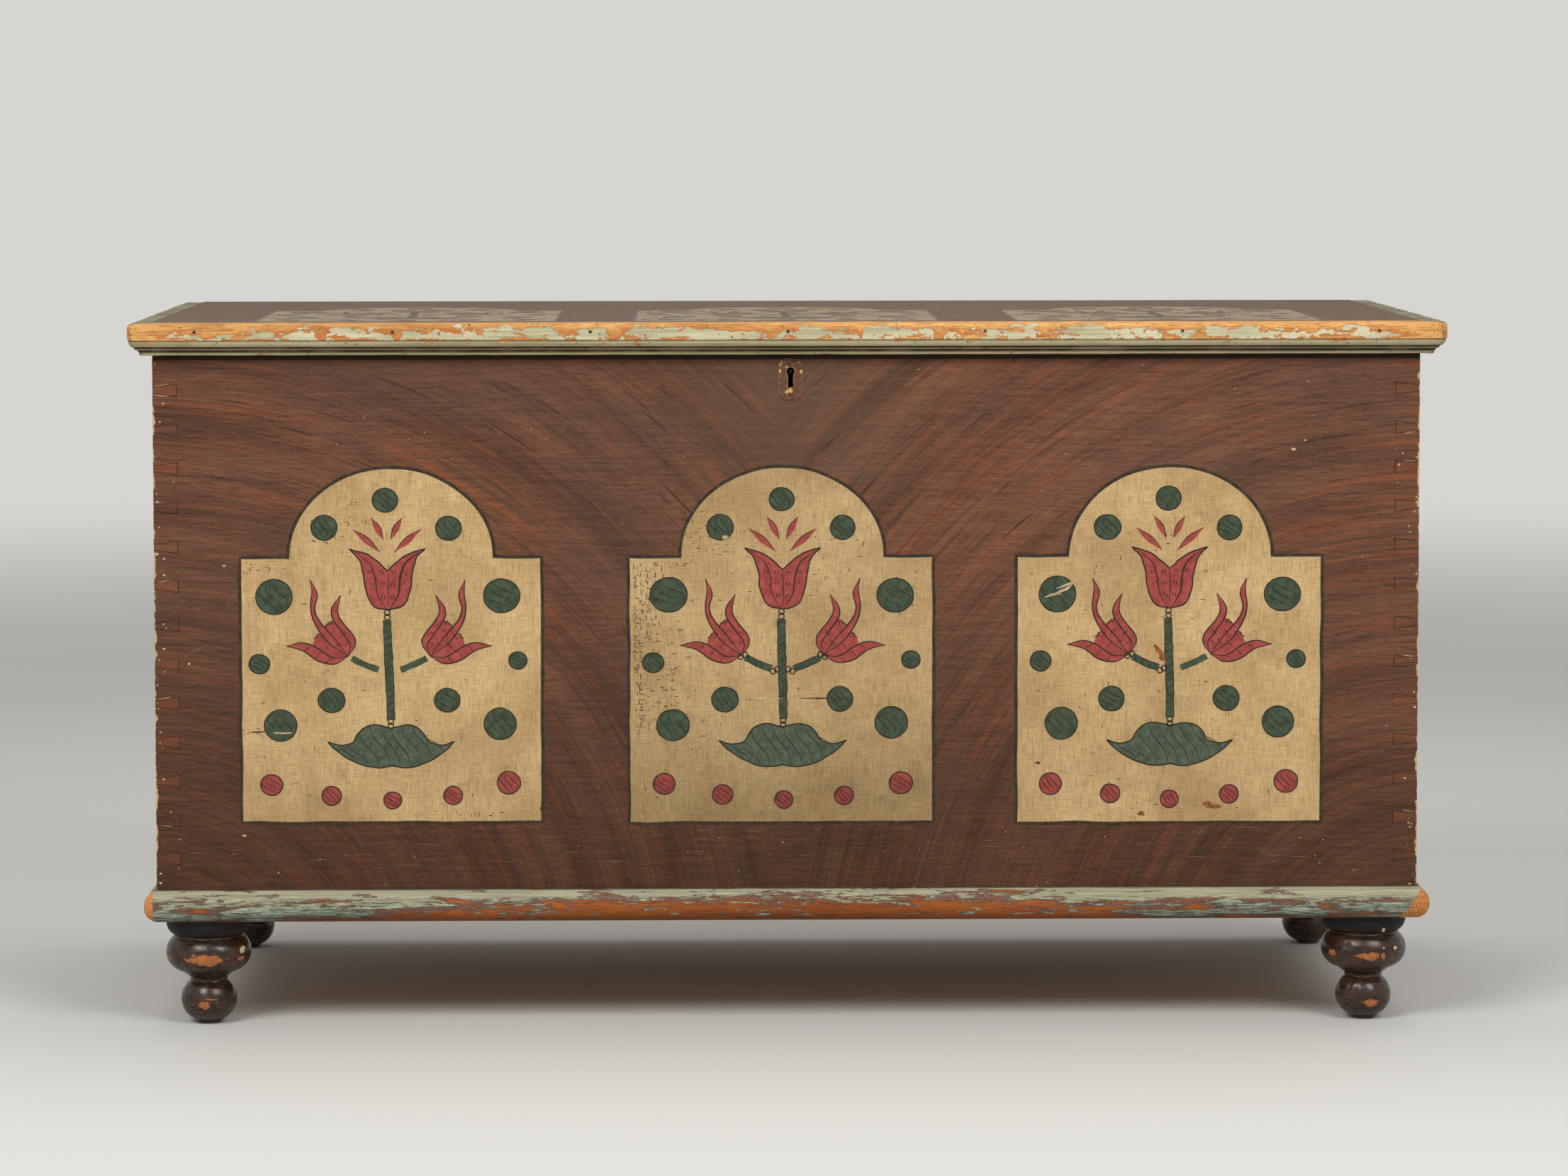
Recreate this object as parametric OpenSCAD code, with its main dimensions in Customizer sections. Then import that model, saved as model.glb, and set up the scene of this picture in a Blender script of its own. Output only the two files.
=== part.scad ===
// Painted blanket chest: a dovetailed board case on turned feet, with a lid
// edged by a moulding, strap hinges at the back, a lock and a small open till.
// Millimetres. +Z is up, the front faces -Y, and the origin is on the floor,
// under the middle of the whole chest.

/* [Case] */
// Outside length of the case
case_w = 1250; // [1050:10:1400]
// Outside depth of the case
case_d = 555; // [460:5:640]
// Height of the front, back and end boards
case_h = 542; // [420:2:620]
// Thickness of the front board
front_t = 24; // [20:1:28]
// Thickness of the back board
back_t = 22; // [20:1:28]
// Thickness of the end boards
end_t = 24; // [20:1:28]
// Thickness of the bottom board
bottom_t = 20; // [16:1:26]

/* [Dovetails] */
// Number of tails down each corner
tail_count = 14; // [8:1:16]
// Height of a pin at its root, inside the case
pin_root_h = 12.5; // [10:0.5:16]
// Height of a pin at the outer face of the end board
pin_tip_h = 6; // [4:0.5:9]
// Clearance between a pin and its socket
joint_gap = 0.1; // [0.05:0.05:0.3]

/* [Lid] */
// Thickness of the lid board
lid_t = 28; // [24:1:31]
// Clearance between the case and the lip that hangs round it
lip_gap = 1; // [0.5:0.5:3]
// Thickness of the lid moulding, front to back
lid_moulding_t = 25; // [22:1:32]
// Height of the upright face at the top of the lid moulding
face_h = 17; // [14:0.5:22]
// Radius of the worn upper edge of the lid moulding
nose_r = 5; // [2:0.5:8]
// Depth of the step under the upright face
quirk = 1; // [0.5:0.1:2]
// Radius of the quarter round under the step
ovolo_r = 7; // [5:0.5:8]
// Height of the square fillet under the quarter round
fillet_h = 1.6; // [1:0.1:3]
// How far the fillet stands out past the quarter round's foot
fillet_out = 0.9; // [0.3:0.1:1.5]
// Radius of the hollow under the fillet
cove_r = 6; // [4:0.5:8]

/* [Base moulding] */
// Height of the base moulding
base_h = 32; // [26:1:40]
// How far the base moulding hangs below the bottom board
base_drop = 4; // [0:1:6]
// How far the base moulding stands out from the case
base_out = 12.5; // [9:0.5:16]
// Radius of the base moulding's rounded face
base_r = 17.5; // [16.5:0.5:26]

/* [Feet] */
// Height of a foot, from the floor to the bottom board
foot_h = 112; // [106:1:130]
// Distance of a foot's middle from the outside of the case
foot_inset = 46.5; // [45:0.5:80]
// Radius of the pad that stands on the floor
pad_r = 12; // [9:0.5:16]
// Height of the middle of the lower ball
low_z = 24.5; // [22:0.5:26]
// Radius of the lower ball at its widest
low_r = 28; // [25:0.5:32]
// Radius of the lower ball's outline
low_arc = 23; // [20:0.5:24]
// Height of the middle of the neck
neck_z = 43.5; // [42:0.5:46]
// Radius of the neck at its thinnest
neck_r = 18.5; // [15:0.5:20]
// Radius of the hollow round the neck
neck_cove = 6; // [4:0.5:7]
// Height of the middle of the upper ball
ball_z = 72; // [70:0.5:74]
// Radius of the upper ball at its widest
ball_r = 42.7; // [36:0.5:44]
// Radius of the upper ball's outline
ball_arc = 20; // [19:0.5:21]
// Height of the middle of the collar
collar_z = 102; // [99:0.5:104]
// Radius of the collar under the case
collar_r = 42.3; // [36:0.5:44]
// Radius of the collar's outline
collar_arc = 14; // [12:0.5:15]
// Radius of the tenon that goes up through the bottom board
tenon_r = 13; // [9:0.5:16]
// Clearance round the tenon
tenon_gap = 0.05; // [0.02:0.01:0.1]

/* [Hinges] */
// Distance along the chest from the till to the nearer edge of a hinge
hinge_off = 26; // [12:1:80]
// Width of a strap at its knuckles
strap_w = 36; // [28:1:44]
// Thickness of the iron straps
strap_t = 3; // [2.5:0.1:4]
// Clearance between the two straps where they lie together
strap_gap = 0.3; // [0.2:0.1:0.6]
// Length of the lid strap from the hinge pin to the middle of its finial
strap_l = 330; // [260:5:380]
// Width of the lid strap where it meets its finial
strap_tip_w = 17; // [12:1:22]
// Radius of the round finials
finial_r = 17; // [14:1:22]
// Length of the leg that hangs down inside the back board
leg_l = 120; // [90:5:200]
// Outside radius of the hinge barrel
barrel_r = 6; // [5:0.5:8]
// Clearance between the hinge barrel and the back board
barrel_gap = 1.5; // [1:0.5:3]
// Radius of the bore through the hinge barrel
barrel_bore_r = 3; // [2.5:0.1:4]
// Running clearance round the hinge pin
pin_gap = 0.05; // [0.02:0.01:0.1]
// Clearance between neighbouring knuckles
knuckle_gap = 0.4; // [0.3:0.1:1]
// Thickness of the riveted heads of the hinge pin
pin_head_t = 2; // [1.5:0.1:3]
// Radius of the riveted heads of the hinge pin
pin_head_r = 4.5; // [4:0.1:5]
// Clearance of a strap in its notch
notch_gap = 1; // [0.5:0.5:2]

/* [Lock] */
// Distance of the keyhole to the right of the middle
keyhole_x = 3; // [-40:1:40]
// Depth of the middle of the keyhole below the rim of the case
keyhole_drop = 21; // [20.5:0.5:24]
// Radius of the round top of the keyhole
keyhole_r = 4; // [3.5:0.1:5]
// Width of the keyhole's slot
slot_w = 5.2; // [4.6:0.1:6]
// Length of the keyhole's slot below its middle
slot_l = 16; // [14:0.5:18]
// Width of the escutcheon plate
plate_w = 24; // [20:0.5:30]
// Height of the escutcheon plate
plate_h = 41; // [38:0.5:46]
// Thickness of the escutcheon plate
plate_t = 1.2; // [1:0.1:2]
// Radius of the escutcheon's upper corners, and size of its cut lower corners
plate_corner = 6; // [3:0.5:7]
// Height of the keyhole's middle above the middle of the escutcheon
plate_offset = 7.5; // [5:0.5:9]
// Length of the lock case
lock_w = 90; // [84:1:110]
// Height of the lock case
lock_h = 62; // [54:1:80]
// Depth of the lock case
lock_d = 18; // [16:0.5:24]
// Thickness of the lock's iron sheet
lock_t = 2; // [1.5:0.1:2.5]
// Width of the nailing ears at each end of the lock
lock_ear = 15; // [12:1:20]
// Depth of the lock below the rim of the case
lock_drop = 3.2; // [3:0.1:4]
// Height of the lock bolt
bolt_h = 8; // [7:0.5:9]
// Thickness of the lock bolt
bolt_t = 5; // [4:0.5:6]
// Length of the lock bolt
bolt_l = 58; // [50:1:58]
// How far the key throws the bolt
bolt_throw = 10; // [8:0.5:12]
// Clearance round the lock bolt in its guides
bolt_gap = 0.3; // [0.2:0.1:0.5]
// Radius of the pin that the key turns on
key_pin_r = 2; // [1.5:0.1:2.5]

/* [Lid staple] */
// Distance of the staple to the right of the keyhole
staple_x = 24; // [22:1:26]
// Thickness of the staple's loop
loop_t = 4; // [3:0.5:5]
// Width of the staple's loop
loop_w = 11; // [10:0.5:12]
// Thickness of the iron round the hole of the loop
loop_rim = 2; // [1.5:0.1:2.5]
// Clearance of the loop in the top of the lock
loop_gap = 1.2; // [0.8:0.1:1.5]
// Length of the staple's plate
staple_l = 54; // [46:1:70]
// Width of the staple's plate
staple_w = 16; // [14:1:17]
// Thickness of the staple's plate
staple_t = 2.4; // [1.5:0.1:2.8]

/* [Till] */
// Inside length of the till
till_w = 150; // [110:5:165]
// Depth of the till's side below its top edge
till_h = 150; // [100:5:180]
// Depth of the till's top edge below the rim of the case
till_drop = 12; // [8:1:30]
// Thickness of the till's boards
till_t = 12; // [9:1:16]
// Depth of the grooves that hold the till's boards
groove_d = 6; // [4:0.5:8]

/* [Nails] */
// Thickness of the square nails
nail_t = 3; // [2:0.1:3.5]
// Clearance round a nail
nail_gap = 0.05; // [0.02:0.01:0.1]
// Length of the long nails in the lid moulding, beyond the moulding
lid_nail_l = 30; // [15:1:50]
// Length of the nails in the base moulding, beyond the moulding
base_nail_l = 25; // [15:1:40]
// Length of the nails under the case, beyond the bottom board
bottom_nail_l = 30; // [15:1:50]
// Length of the nails in iron, beyond the iron
iron_nail_l = 16; // [10:1:18]
// Radius of the round heads of the nails in iron
head_r = 5; // [4:0.5:6]
// Height of the round heads of the nails in iron
head_h = 2; // [1:0.1:2.5]
// Radius of the escutcheon's nail heads
tack_r = 1.7; // [1.2:0.1:2]
// Thickness of the escutcheon's nails
tack_t = 1.6; // [1:0.1:2]
// Length of the escutcheon's nails, beyond the plate
tack_l = 14; // [8:1:18]
// Wood left between the points of two nails that meet at a corner of the lid
nail_margin = 15; // [8:1:30]
// Number of nails along the front of each moulding
front_nails = 7; // [3:1:12]
// Number of nails along each end of each moulding
side_nails = 3; // [2:1:5]

/* [Hidden] */
$fn = 64;
// How far a cutter runs past a face
cut = 1;

BROWN = "#5f4037";
GREEN = "#8d9a78";
WOOD = "#b28a5c";
DARK = "#33251f";
IRON = "#45413e";
BRASS = "#8c7040";

// Heights of the main joints between pieces
z_case = foot_h + bottom_t;
z_rim = z_case + case_h;
z_lid_top = z_rim + lid_t;
quirk_h = quirk / 2;
lid_moulding_h = face_h + quirk_h + ovolo_r + fillet_h + cove_r;
z_lip = z_lid_top - lid_moulding_h;
z_base = foot_h - base_drop;

// The chest is centred, lid moulding and hinge barrels counted in
depth_all = lid_moulding_t + lip_gap + case_d + barrel_gap + 2 * barrel_r;
half_w = case_w / 2;
x_in = half_w - end_t;
y_front = lid_moulding_t + lip_gap - depth_all / 2;
y_back = y_front + case_d;
y_in = y_front + front_t;
y_in_back = y_back - back_t;
pitch = case_h / tail_count;

// The lid's edge, against which its moulding lies
lid_half = half_w + lip_gap;
lid_y = y_front - lip_gap;

// Hinge axis, level with the gap between the two straps
y_axis = y_back + barrel_gap + barrel_r;
z_axis = z_rim - strap_t - strap_gap / 2;
y_plate = y_axis - barrel_r - knuckle_gap;
knuckle_l = strap_w / 3;
pin_r = barrel_bore_r - pin_gap;
hinge_x = x_in - till_w - till_t - hinge_off - strap_w / 2;
notch_h = 2 * strap_t + strap_gap;

// Lock
z_key = z_rim - keyhole_drop;
z_lock = z_rim - lock_drop;
z_bolt = z_lock - lock_t - bolt_gap - bolt_h / 2;
y_bolt = y_in + lock_d / 2;
x_staple = keyhole_x + staple_x;
bolt_tip = x_staple - loop_t / 2 - loop_gap;
hole_h = bolt_h + 2 * loop_gap;
z_loop = z_bolt - hole_h / 2 - loop_rim;
z_plate = z_key - plate_offset;
tack_drop = plate_h / 2 - 3 * tack_r;
guide_t = 3;
guide_near = bolt_tip - 2 * guide_t;
guide_far = bolt_tip - bolt_l + bolt_throw + guide_t;

// Till
z_till = z_rim - till_drop;
z_till_floor = z_till - till_h;
x_till = till_w - x_in;

// A row of nails keeps this far from the ends of what it fastens
lid_nail_end = lid_nail_l + nail_margin;
base_nail_end = foot_inset + tenon_r + base_nail_l;

// A shape drawn in X and Z, pushed back from y by length
module along_y(y, length) {
    translate([0, y + length, 0]) rotate([90, 0, 0]) linear_extrude(length) children();
}

// A block given by its two corners
module block(low, high) {
    translate(low) cube(high - low);
}

// Evenly spaced places from a to b, and the places halfway between those of a row
function row(a, b, count) = [for (i = [0 : count - 1]) a + (b - a) * i / (count - 1)];
function halfway(places) = [for (i = [1 : len(places) - 1]) (places[i - 1] + places[i]) / 2];

// Square nail shanks, along each axis
module nail_x(length, grow) {
    s = nail_t + 2 * grow;
    translate([0, -s / 2, -s / 2]) cube([length, s, s]);
}
module nail_y(length, grow) {
    s = nail_t + 2 * grow;
    translate([-s / 2, 0, -s / 2]) cube([s, length, s]);
}
module nail_z(length, grow) {
    s = nail_t + 2 * grow;
    translate([-s / 2, -s / 2, 0]) cube([s, s, length]);
}

// Dovetail pins of one corner, seen from the front, with the outer face at x = 0
module pin_row(grow, over) {
    taper = (pin_root_h - pin_tip_h) / 2 / end_t;
    tip = pin_tip_h / 2 - taper * over + grow;
    root = pin_root_h / 2 + taper * grow + grow;
    for (k = [0 : tail_count])
        translate([0, k * pitch])
            polygon([[-over, -tip], [end_t + grow, -root], [end_t + grow, root], [-over, tip]]);
}

// Sockets for the pins of the left corner, cut through a board that starts at y
module left_sockets(y, thick) {
    translate([-half_w, 0, z_case]) along_y(y - cut, thick + 2 * cut) pin_row(joint_gap, cut);
}

// Pins of the left corner, as long as the board is thick
module left_pins(y, thick) {
    translate([-half_w, 0, z_case])
        along_y(y, thick)
            intersection() {
                pin_row(0, 0);
                square([end_t, case_h]);
            }
}

module both_sides() {
    children();
    mirror([1, 0, 0]) children();
}

// Grooves that hold the till, grown by a clearance
module till_boards(grow) {
    block([x_till - grow, y_in - groove_d - grow, z_till_floor - grow],
          [x_till + till_t + grow, y_in_back + groove_d + grow, z_till + grow]);
    block([-x_in - groove_d - grow, y_in - groove_d - grow, z_till_floor - grow],
          [x_till + till_t + grow, y_in_back + groove_d + grow, z_till_floor + till_t + grow]);
}

module keyhole() {
    circle(keyhole_r);
    translate([-slot_w / 2, -slot_l]) square([slot_w, slot_l]);
}

// Where the nails of the mouldings are, along the front and along the ends
base_nails_x = row(base_nail_end - half_w, half_w - base_nail_end, front_nails);
base_nails_y = row(y_front + base_nail_end, y_back - base_nail_end, side_nails);
lid_nails_x = row(lid_nail_end - lid_half, lid_half - lid_nail_end, front_nails);
lid_nails_y = row(lid_y + lid_nail_end, y_back - lid_nail_end, side_nails);

// Nails that hold the bottom board, from its underside and between those of the moulding
module at_bottom_nails() {
    for (x = halfway(base_nails_x), y = [y_front + front_t / 2, y_back - back_t / 2])
        translate([x, y, foot_h]) children();
    for (x = [end_t / 2 - half_w, half_w - end_t / 2], y = halfway(base_nails_y))
        translate([x, y, foot_h]) children();
}

module bottom_nail_set(grow) {
    at_bottom_nails() nail_z(bottom_t + bottom_nail_l + grow, grow);
}

module base_nail_set(grow) {
    length = base_out + base_nail_l + grow;
    z = foot_h + bottom_t / 2;
    for (x = base_nails_x) translate([x, y_front - base_out, z]) nail_y(length, grow);
    both_sides() for (y = base_nails_y) translate([-half_w - base_out, y, z]) nail_x(length, grow);
}

module lid_nail_set(grow) {
    length = lid_moulding_t + lid_nail_l + grow;
    z = z_lid_top - face_h / 2;
    for (x = lid_nails_x) translate([x, lid_y - lid_moulding_t, z]) nail_y(length, grow);
    both_sides() for (y = lid_nails_y) translate([-lid_half - lid_moulding_t, y, z]) nail_x(length, grow);
}

// Case boards

module front_board() {
    color(BROWN)
        difference() {
            block([-half_w, y_front, z_case], [half_w, y_in, z_rim]);
            both_sides() left_sockets(y_front, front_t);
            till_boards(joint_gap);
            translate([keyhole_x, 0, z_key]) along_y(y_front - cut, front_t + 2 * cut) keyhole();
            bottom_nail_set(nail_gap);
            lock_nail_set(nail_gap);
            tack_set(nail_gap);
        }
}

module back_board() {
    color(WOOD)
        difference() {
            block([-half_w, y_in_back, z_case], [half_w, y_back, z_rim]);
            both_sides() left_sockets(y_in_back, back_t);
            till_boards(joint_gap);
            both_sides()
                block([hinge_x - strap_w / 2 - notch_gap, y_in_back - cut, z_rim - notch_h],
                      [hinge_x + strap_w / 2 + notch_gap, y_back + cut, z_rim + cut]);
            bottom_nail_set(nail_gap);
            both_sides() leg_nail_set(nail_gap);
        }
}

// An end board, drawn on the left
module end_board() {
    color(BROWN)
        difference() {
            union() {
                block([-half_w, y_in, z_case], [-x_in, y_in_back, z_rim]);
                left_pins(y_front, front_t);
                left_pins(y_in_back, back_t);
            }
            bottom_nail_set(nail_gap);
        }
}

module left_end_board() {
    difference() {
        end_board();
        till_boards(joint_gap);
    }
}

module right_end_board() {
    mirror([1, 0, 0]) end_board();
}

module bottom_board() {
    color(WOOD)
        difference() {
            block([-half_w, y_front, foot_h], [half_w, y_back, z_case]);
            at_feet() cylinder(r = tenon_r + tenon_gap, h = foot_h + bottom_t + cut);
            translate([0, 0, -cut]) bottom_nail_set(nail_gap);
            bottom_nail_set(nail_gap);
            base_nail_set(nail_gap);
        }
}

// Mouldings

// Outline of the lid moulding: its back at x = 0, its foot at y = 0
module lid_profile() {
    z_step = lid_moulding_h - face_h;
    x_ovolo = lid_moulding_t - quirk - ovolo_r;
    x_fillet = x_ovolo + fillet_out;
    difference() {
        union() {
            translate([0, z_step]) square([lid_moulding_t - nose_r, face_h]);
            translate([0, z_step]) square([lid_moulding_t, face_h - nose_r]);
            translate([lid_moulding_t - nose_r, lid_moulding_h - nose_r]) circle(nose_r);
            square([x_ovolo, lid_moulding_h]);
            translate([0, z_step - quirk_h]) square([lid_moulding_t - quirk, quirk_h]);
            translate([x_ovolo, z_step - quirk_h])
                intersection() {
                    circle(ovolo_r);
                    translate([0, -ovolo_r]) square(ovolo_r);
                }
            square([x_fillet, cove_r + fillet_h]);
        }
        translate([x_fillet, 0]) circle(cove_r);
    }
}

// Outline of the base moulding: a rounded nosing, with its back at x = 0
module base_profile() {
    intersection() {
        square([base_out, base_h]);
        translate([base_out - base_r, base_h / 2]) circle(base_r);
    }
}

// Plan of a moulding along the front edge, mitred at both ends
module front_plan(half, y, out) {
    polygon([[-half, y], [half, y], [half + out, y - out], [-half - out, y - out]]);
}

// Plan of a moulding along the left edge, mitred at the front
module side_plan(half, y, y_end, out) {
    polygon([[-half, y], [-half - out, y - out], [-half - out, y_end], [-half, y_end]]);
}

// A moulding along the front edge: the profile runs along X, cut by the plan
module front_run(half, y, out, z, high) {
    reach = half + out;
    intersection() {
        translate([-reach, y, z]) rotate([90, 0, 90]) linear_extrude(2 * reach) mirror([1, 0]) children();
        translate([0, 0, z - cut]) linear_extrude(high + 2 * cut) front_plan(half, y, out);
    }
}

// A moulding along the left edge
module side_run(half, y, y_end, out, z, high) {
    intersection() {
        translate([-half, y_end, z])
            rotate([90, 0, 0])
                linear_extrude(y_end - y + out)
                    mirror([1, 0]) children();
        translate([0, 0, z - cut]) linear_extrude(high + 2 * cut) side_plan(half, y, y_end, out);
    }
}

module base_moulding_front() {
    color(GREEN)
        difference() {
            front_run(half_w, y_front, base_out, z_base, base_h) base_profile();
            base_nail_set(nail_gap);
        }
}

module base_moulding_left() {
    color(GREEN)
        difference() {
            side_run(half_w, y_front, y_back, base_out, z_base, base_h) base_profile();
            base_nail_set(nail_gap);
        }
}

module base_moulding_right() {
    mirror([1, 0, 0]) base_moulding_left();
}

module lid_moulding_front() {
    color(GREEN)
        difference() {
            front_run(lid_half, lid_y, lid_moulding_t, z_lip, lid_moulding_h) lid_profile();
            lid_nail_set(nail_gap);
        }
}

module lid_moulding_left() {
    color(GREEN)
        difference() {
            side_run(lid_half, lid_y, y_back, lid_moulding_t, z_lip, lid_moulding_h) lid_profile();
            lid_nail_set(nail_gap);
        }
}

module lid_moulding_right() {
    mirror([1, 0, 0]) lid_moulding_left();
}

module base_moulding_nails() {
    color(IRON) base_nail_set(0);
}

module lid_moulding_nails() {
    color(IRON) lid_nail_set(0);
}

module bottom_nails() {
    color(IRON) bottom_nail_set(0);
}

// Feet

// Where a foot stands
function foot_at(side, end) = [
    side * (half_w - foot_inset),
    end < 0 ? y_front + foot_inset : y_back - foot_inset,
    0
];

module at_feet() {
    for (side = [-1, 1], end = [-1, 1]) translate(foot_at(side, end)) children();
}

// Half outline of a turned ball: its widest radius, its outline's radius and its height
module ball_outline(wide, arc, z) {
    intersection() {
        translate([wide - arc, z]) circle(arc);
        translate([0, z - arc]) square([wide, 2 * arc]);
    }
    translate([0, z - arc]) square([wide - arc, 2 * arc]);
}

module foot_outline() {
    square([pad_r, low_z]);
    ball_outline(low_r, low_arc, low_z);
    difference() {
        translate([0, low_z]) square([neck_r + neck_cove, ball_z - low_z]);
        translate([neck_r + neck_cove, neck_z]) circle(neck_cove);
    }
    ball_outline(ball_r, ball_arc, ball_z);
    ball_outline(collar_r, collar_arc, collar_z);
    translate([0, collar_z]) square([collar_r, foot_h - collar_z]);
}

module foot(side, end) {
    color(DARK)
        translate(foot_at(side, end))
            rotate_extrude() {
                intersection() {
                    foot_outline();
                    square([ball_r + collar_r, foot_h]);
                }
                square([tenon_r, foot_h + bottom_t]);
            }
}

module foot_front_left() { foot(-1, -1); }
module foot_front_right() { foot(1, -1); }
module foot_back_left() { foot(-1, 1); }
module foot_back_right() { foot(1, 1); }

// Till

module till_side() {
    color(WOOD)
        difference() {
            block([x_till, y_in - groove_d, z_till_floor], [x_till + till_t, y_in_back + groove_d, z_till]);
            block([x_till - cut, y_in - groove_d - cut, z_till_floor - cut],
                  [x_till + till_t / 2, y_in_back + groove_d + cut, z_till_floor + till_t + joint_gap]);
        }
}

module till_bottom() {
    color(WOOD)
        block([-x_in - groove_d, y_in - groove_d, z_till_floor],
              [x_till + till_t / 2 - joint_gap, y_in_back + groove_d, z_till_floor + till_t]);
}

// Hinges

// Round-headed nail in iron, with its head below z = 0 and its shank above
module iron_nail(thick) {
    translate([0, 0, -head_h]) cylinder(r1 = head_r * 0.6, r2 = head_r, h = head_h);
    nail_z(thick + iron_nail_l, 0);
}

// Where the nails of a lid strap are, counted from the pin
strap_nails = row(y_axis - y_in_back + strap_t + 2 * head_r, strap_l, 5);
// Where the nails of a leg are, counted down from the rim
leg_nails = row(notch_h + 5 * head_r, leg_l, 3);

// Outline of the lid strap, along -Y from the pin
module strap_outline() {
    difference() {
        union() {
            polygon([
                [-strap_w / 2, y_plate - y_axis], [strap_w / 2, y_plate - y_axis],
                [strap_tip_w / 2, -strap_l], [-strap_tip_w / 2, -strap_l]
            ]);
            translate([0, -strap_l]) circle(finial_r);
        }
        for (y = strap_nails) translate([0, -y]) square(nail_t + 2 * nail_gap, center = true);
    }
}

// A hinge knuckle along X, from x to x + length, with the tongue that joins it to its strap
module knuckle(x, length, low) {
    translate([x, y_axis, z_axis]) rotate([0, 90, 0]) cylinder(r = barrel_r, h = length);
    block([x, y_plate - cut, low], [x + length, y_axis, low + strap_t]);
}

module barrel_bore() {
    translate([-strap_w, y_axis, z_axis]) rotate([0, 90, 0]) cylinder(r = barrel_bore_r, h = 2 * strap_w);
}

module lid_strap(x) {
    color(IRON)
        translate([x, 0, 0])
            difference() {
                union() {
                    translate([0, y_axis, z_rim - strap_t]) linear_extrude(strap_t) strap_outline();
                    knuckle(knuckle_gap - knuckle_l / 2, knuckle_l - 2 * knuckle_gap, z_rim - strap_t);
                }
                barrel_bore();
            }
}

module lid_strap_left() { lid_strap(-hinge_x); }
module lid_strap_right() { lid_strap(hinge_x); }

// Outline of the leg, in X and Z below the rim
module leg_outline() {
    difference() {
        union() {
            translate([-strap_w / 2, -leg_l]) square([strap_w, leg_l - notch_h + strap_t]);
            translate([0, -leg_l]) circle(strap_w / 2);
        }
        for (z = leg_nails) translate([0, -z]) square(nail_t + 2 * nail_gap, center = true);
    }
}

module back_strap(x) {
    low = z_rim - notch_h;
    color(IRON)
        translate([x, 0, 0])
            difference() {
                union() {
                    translate([0, 0, z_rim]) along_y(y_in_back - strap_t, strap_t) leg_outline();
                    block([-strap_w / 2, y_in_back - strap_t, low], [strap_w / 2, y_plate, low + strap_t]);
                    knuckle(-strap_w / 2, knuckle_l, low);
                    knuckle(strap_w / 2 - knuckle_l, knuckle_l, low);
                }
                barrel_bore();
            }
}

module back_strap_left() { back_strap(-hinge_x); }
module back_strap_right() { back_strap(hinge_x); }

module hinge_pin(x) {
    color(IRON)
        translate([x, y_axis, z_axis])
            rotate([0, 90, 0]) {
                translate([0, 0, -strap_w / 2]) cylinder(r = pin_r, h = strap_w);
                translate([0, 0, strap_w / 2]) cylinder(r1 = pin_head_r, r2 = pin_r, h = pin_head_t);
                translate([0, 0, -strap_w / 2 - pin_head_t])
                    cylinder(r1 = pin_r, r2 = pin_head_r, h = pin_head_t);
            }
}

module hinge_pin_left() { hinge_pin(-hinge_x); }
module hinge_pin_right() { hinge_pin(hinge_x); }

module at_strap_nails(x) {
    for (y = strap_nails) translate([x, y_axis - y, z_rim - strap_t]) children();
}

module lid_strap_nails() {
    color(IRON) for (side = [-1, 1]) at_strap_nails(side * hinge_x) iron_nail(strap_t);
}

module at_leg_nails() {
    for (z = leg_nails) translate([hinge_x, y_in_back - strap_t, z_rim - z]) rotate([-90, 0, 0]) children();
}

module leg_nail_set(grow) {
    at_leg_nails() nail_z(strap_t + iron_nail_l + grow, grow);
}

module back_strap_nails() {
    color(IRON) both_sides() at_leg_nails() iron_nail(strap_t);
}

// Lid board

module lid_board() {
    color(BROWN)
        difference() {
            block([-lid_half, lid_y, z_rim], [lid_half, y_back, z_lid_top]);
            lid_nail_set(nail_gap);
            for (side = [-1, 1])
                at_strap_nails(side * hinge_x) nail_z(strap_t + iron_nail_l + nail_gap, nail_gap);
            at_staple_nails() nail_z(staple_t + iron_nail_l + nail_gap, nail_gap);
        }
}

// Escutcheon and lock

// Outline of the escutcheon, round its middle
module plate_outline() {
    w = plate_w / 2;
    h = plate_h / 2;
    c = plate_corner;
    polygon([
        [-w, c - h], [c - w, -h], [w - c, -h], [w, c - h],
        [w, h - c], [w - c, h], [c - w, h], [-w, h - c]
    ]);
    for (side = [-1, 1]) translate([side * (w - c), h - c]) circle(c);
}

module escutcheon() {
    color(BRASS)
        difference() {
            translate([keyhole_x, 0, z_plate])
                along_y(y_front - plate_t, plate_t)
                    difference() {
                        plate_outline();
                        translate([0, plate_offset]) keyhole();
                    }
            tack_set(nail_gap);
        }
}

module at_tacks() {
    for (side = [-1, 1])
        translate([keyhole_x, y_front - plate_t, z_plate + side * tack_drop])
            rotate([-90, 0, 0]) children();
}

module tack_set(grow) {
    s = tack_t + 2 * grow;
    at_tacks() translate([-s / 2, -s / 2, 0]) cube([s, s, plate_t + tack_l + grow]);
}

module escutcheon_nails() {
    color(BRASS) {
        tack_set(0);
        at_tacks() translate([0, 0, -tack_r / 2]) cylinder(r1 = tack_r / 2, r2 = tack_r, h = tack_r / 2);
    }
}

module at_lock_nails() {
    for (side = [-1, 1], z = [lock_h / 6, lock_h * 5 / 6])
        translate([keyhole_x + side * (lock_w + lock_ear) / 2, y_in + lock_t, z_lock - z])
            rotate([90, 0, 0]) children();
}

module lock_nail_set(grow) {
    at_lock_nails() nail_z(lock_t + iron_nail_l + grow, grow);
}

module lock_nails() {
    color(IRON) at_lock_nails() iron_nail(lock_t);
}

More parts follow.
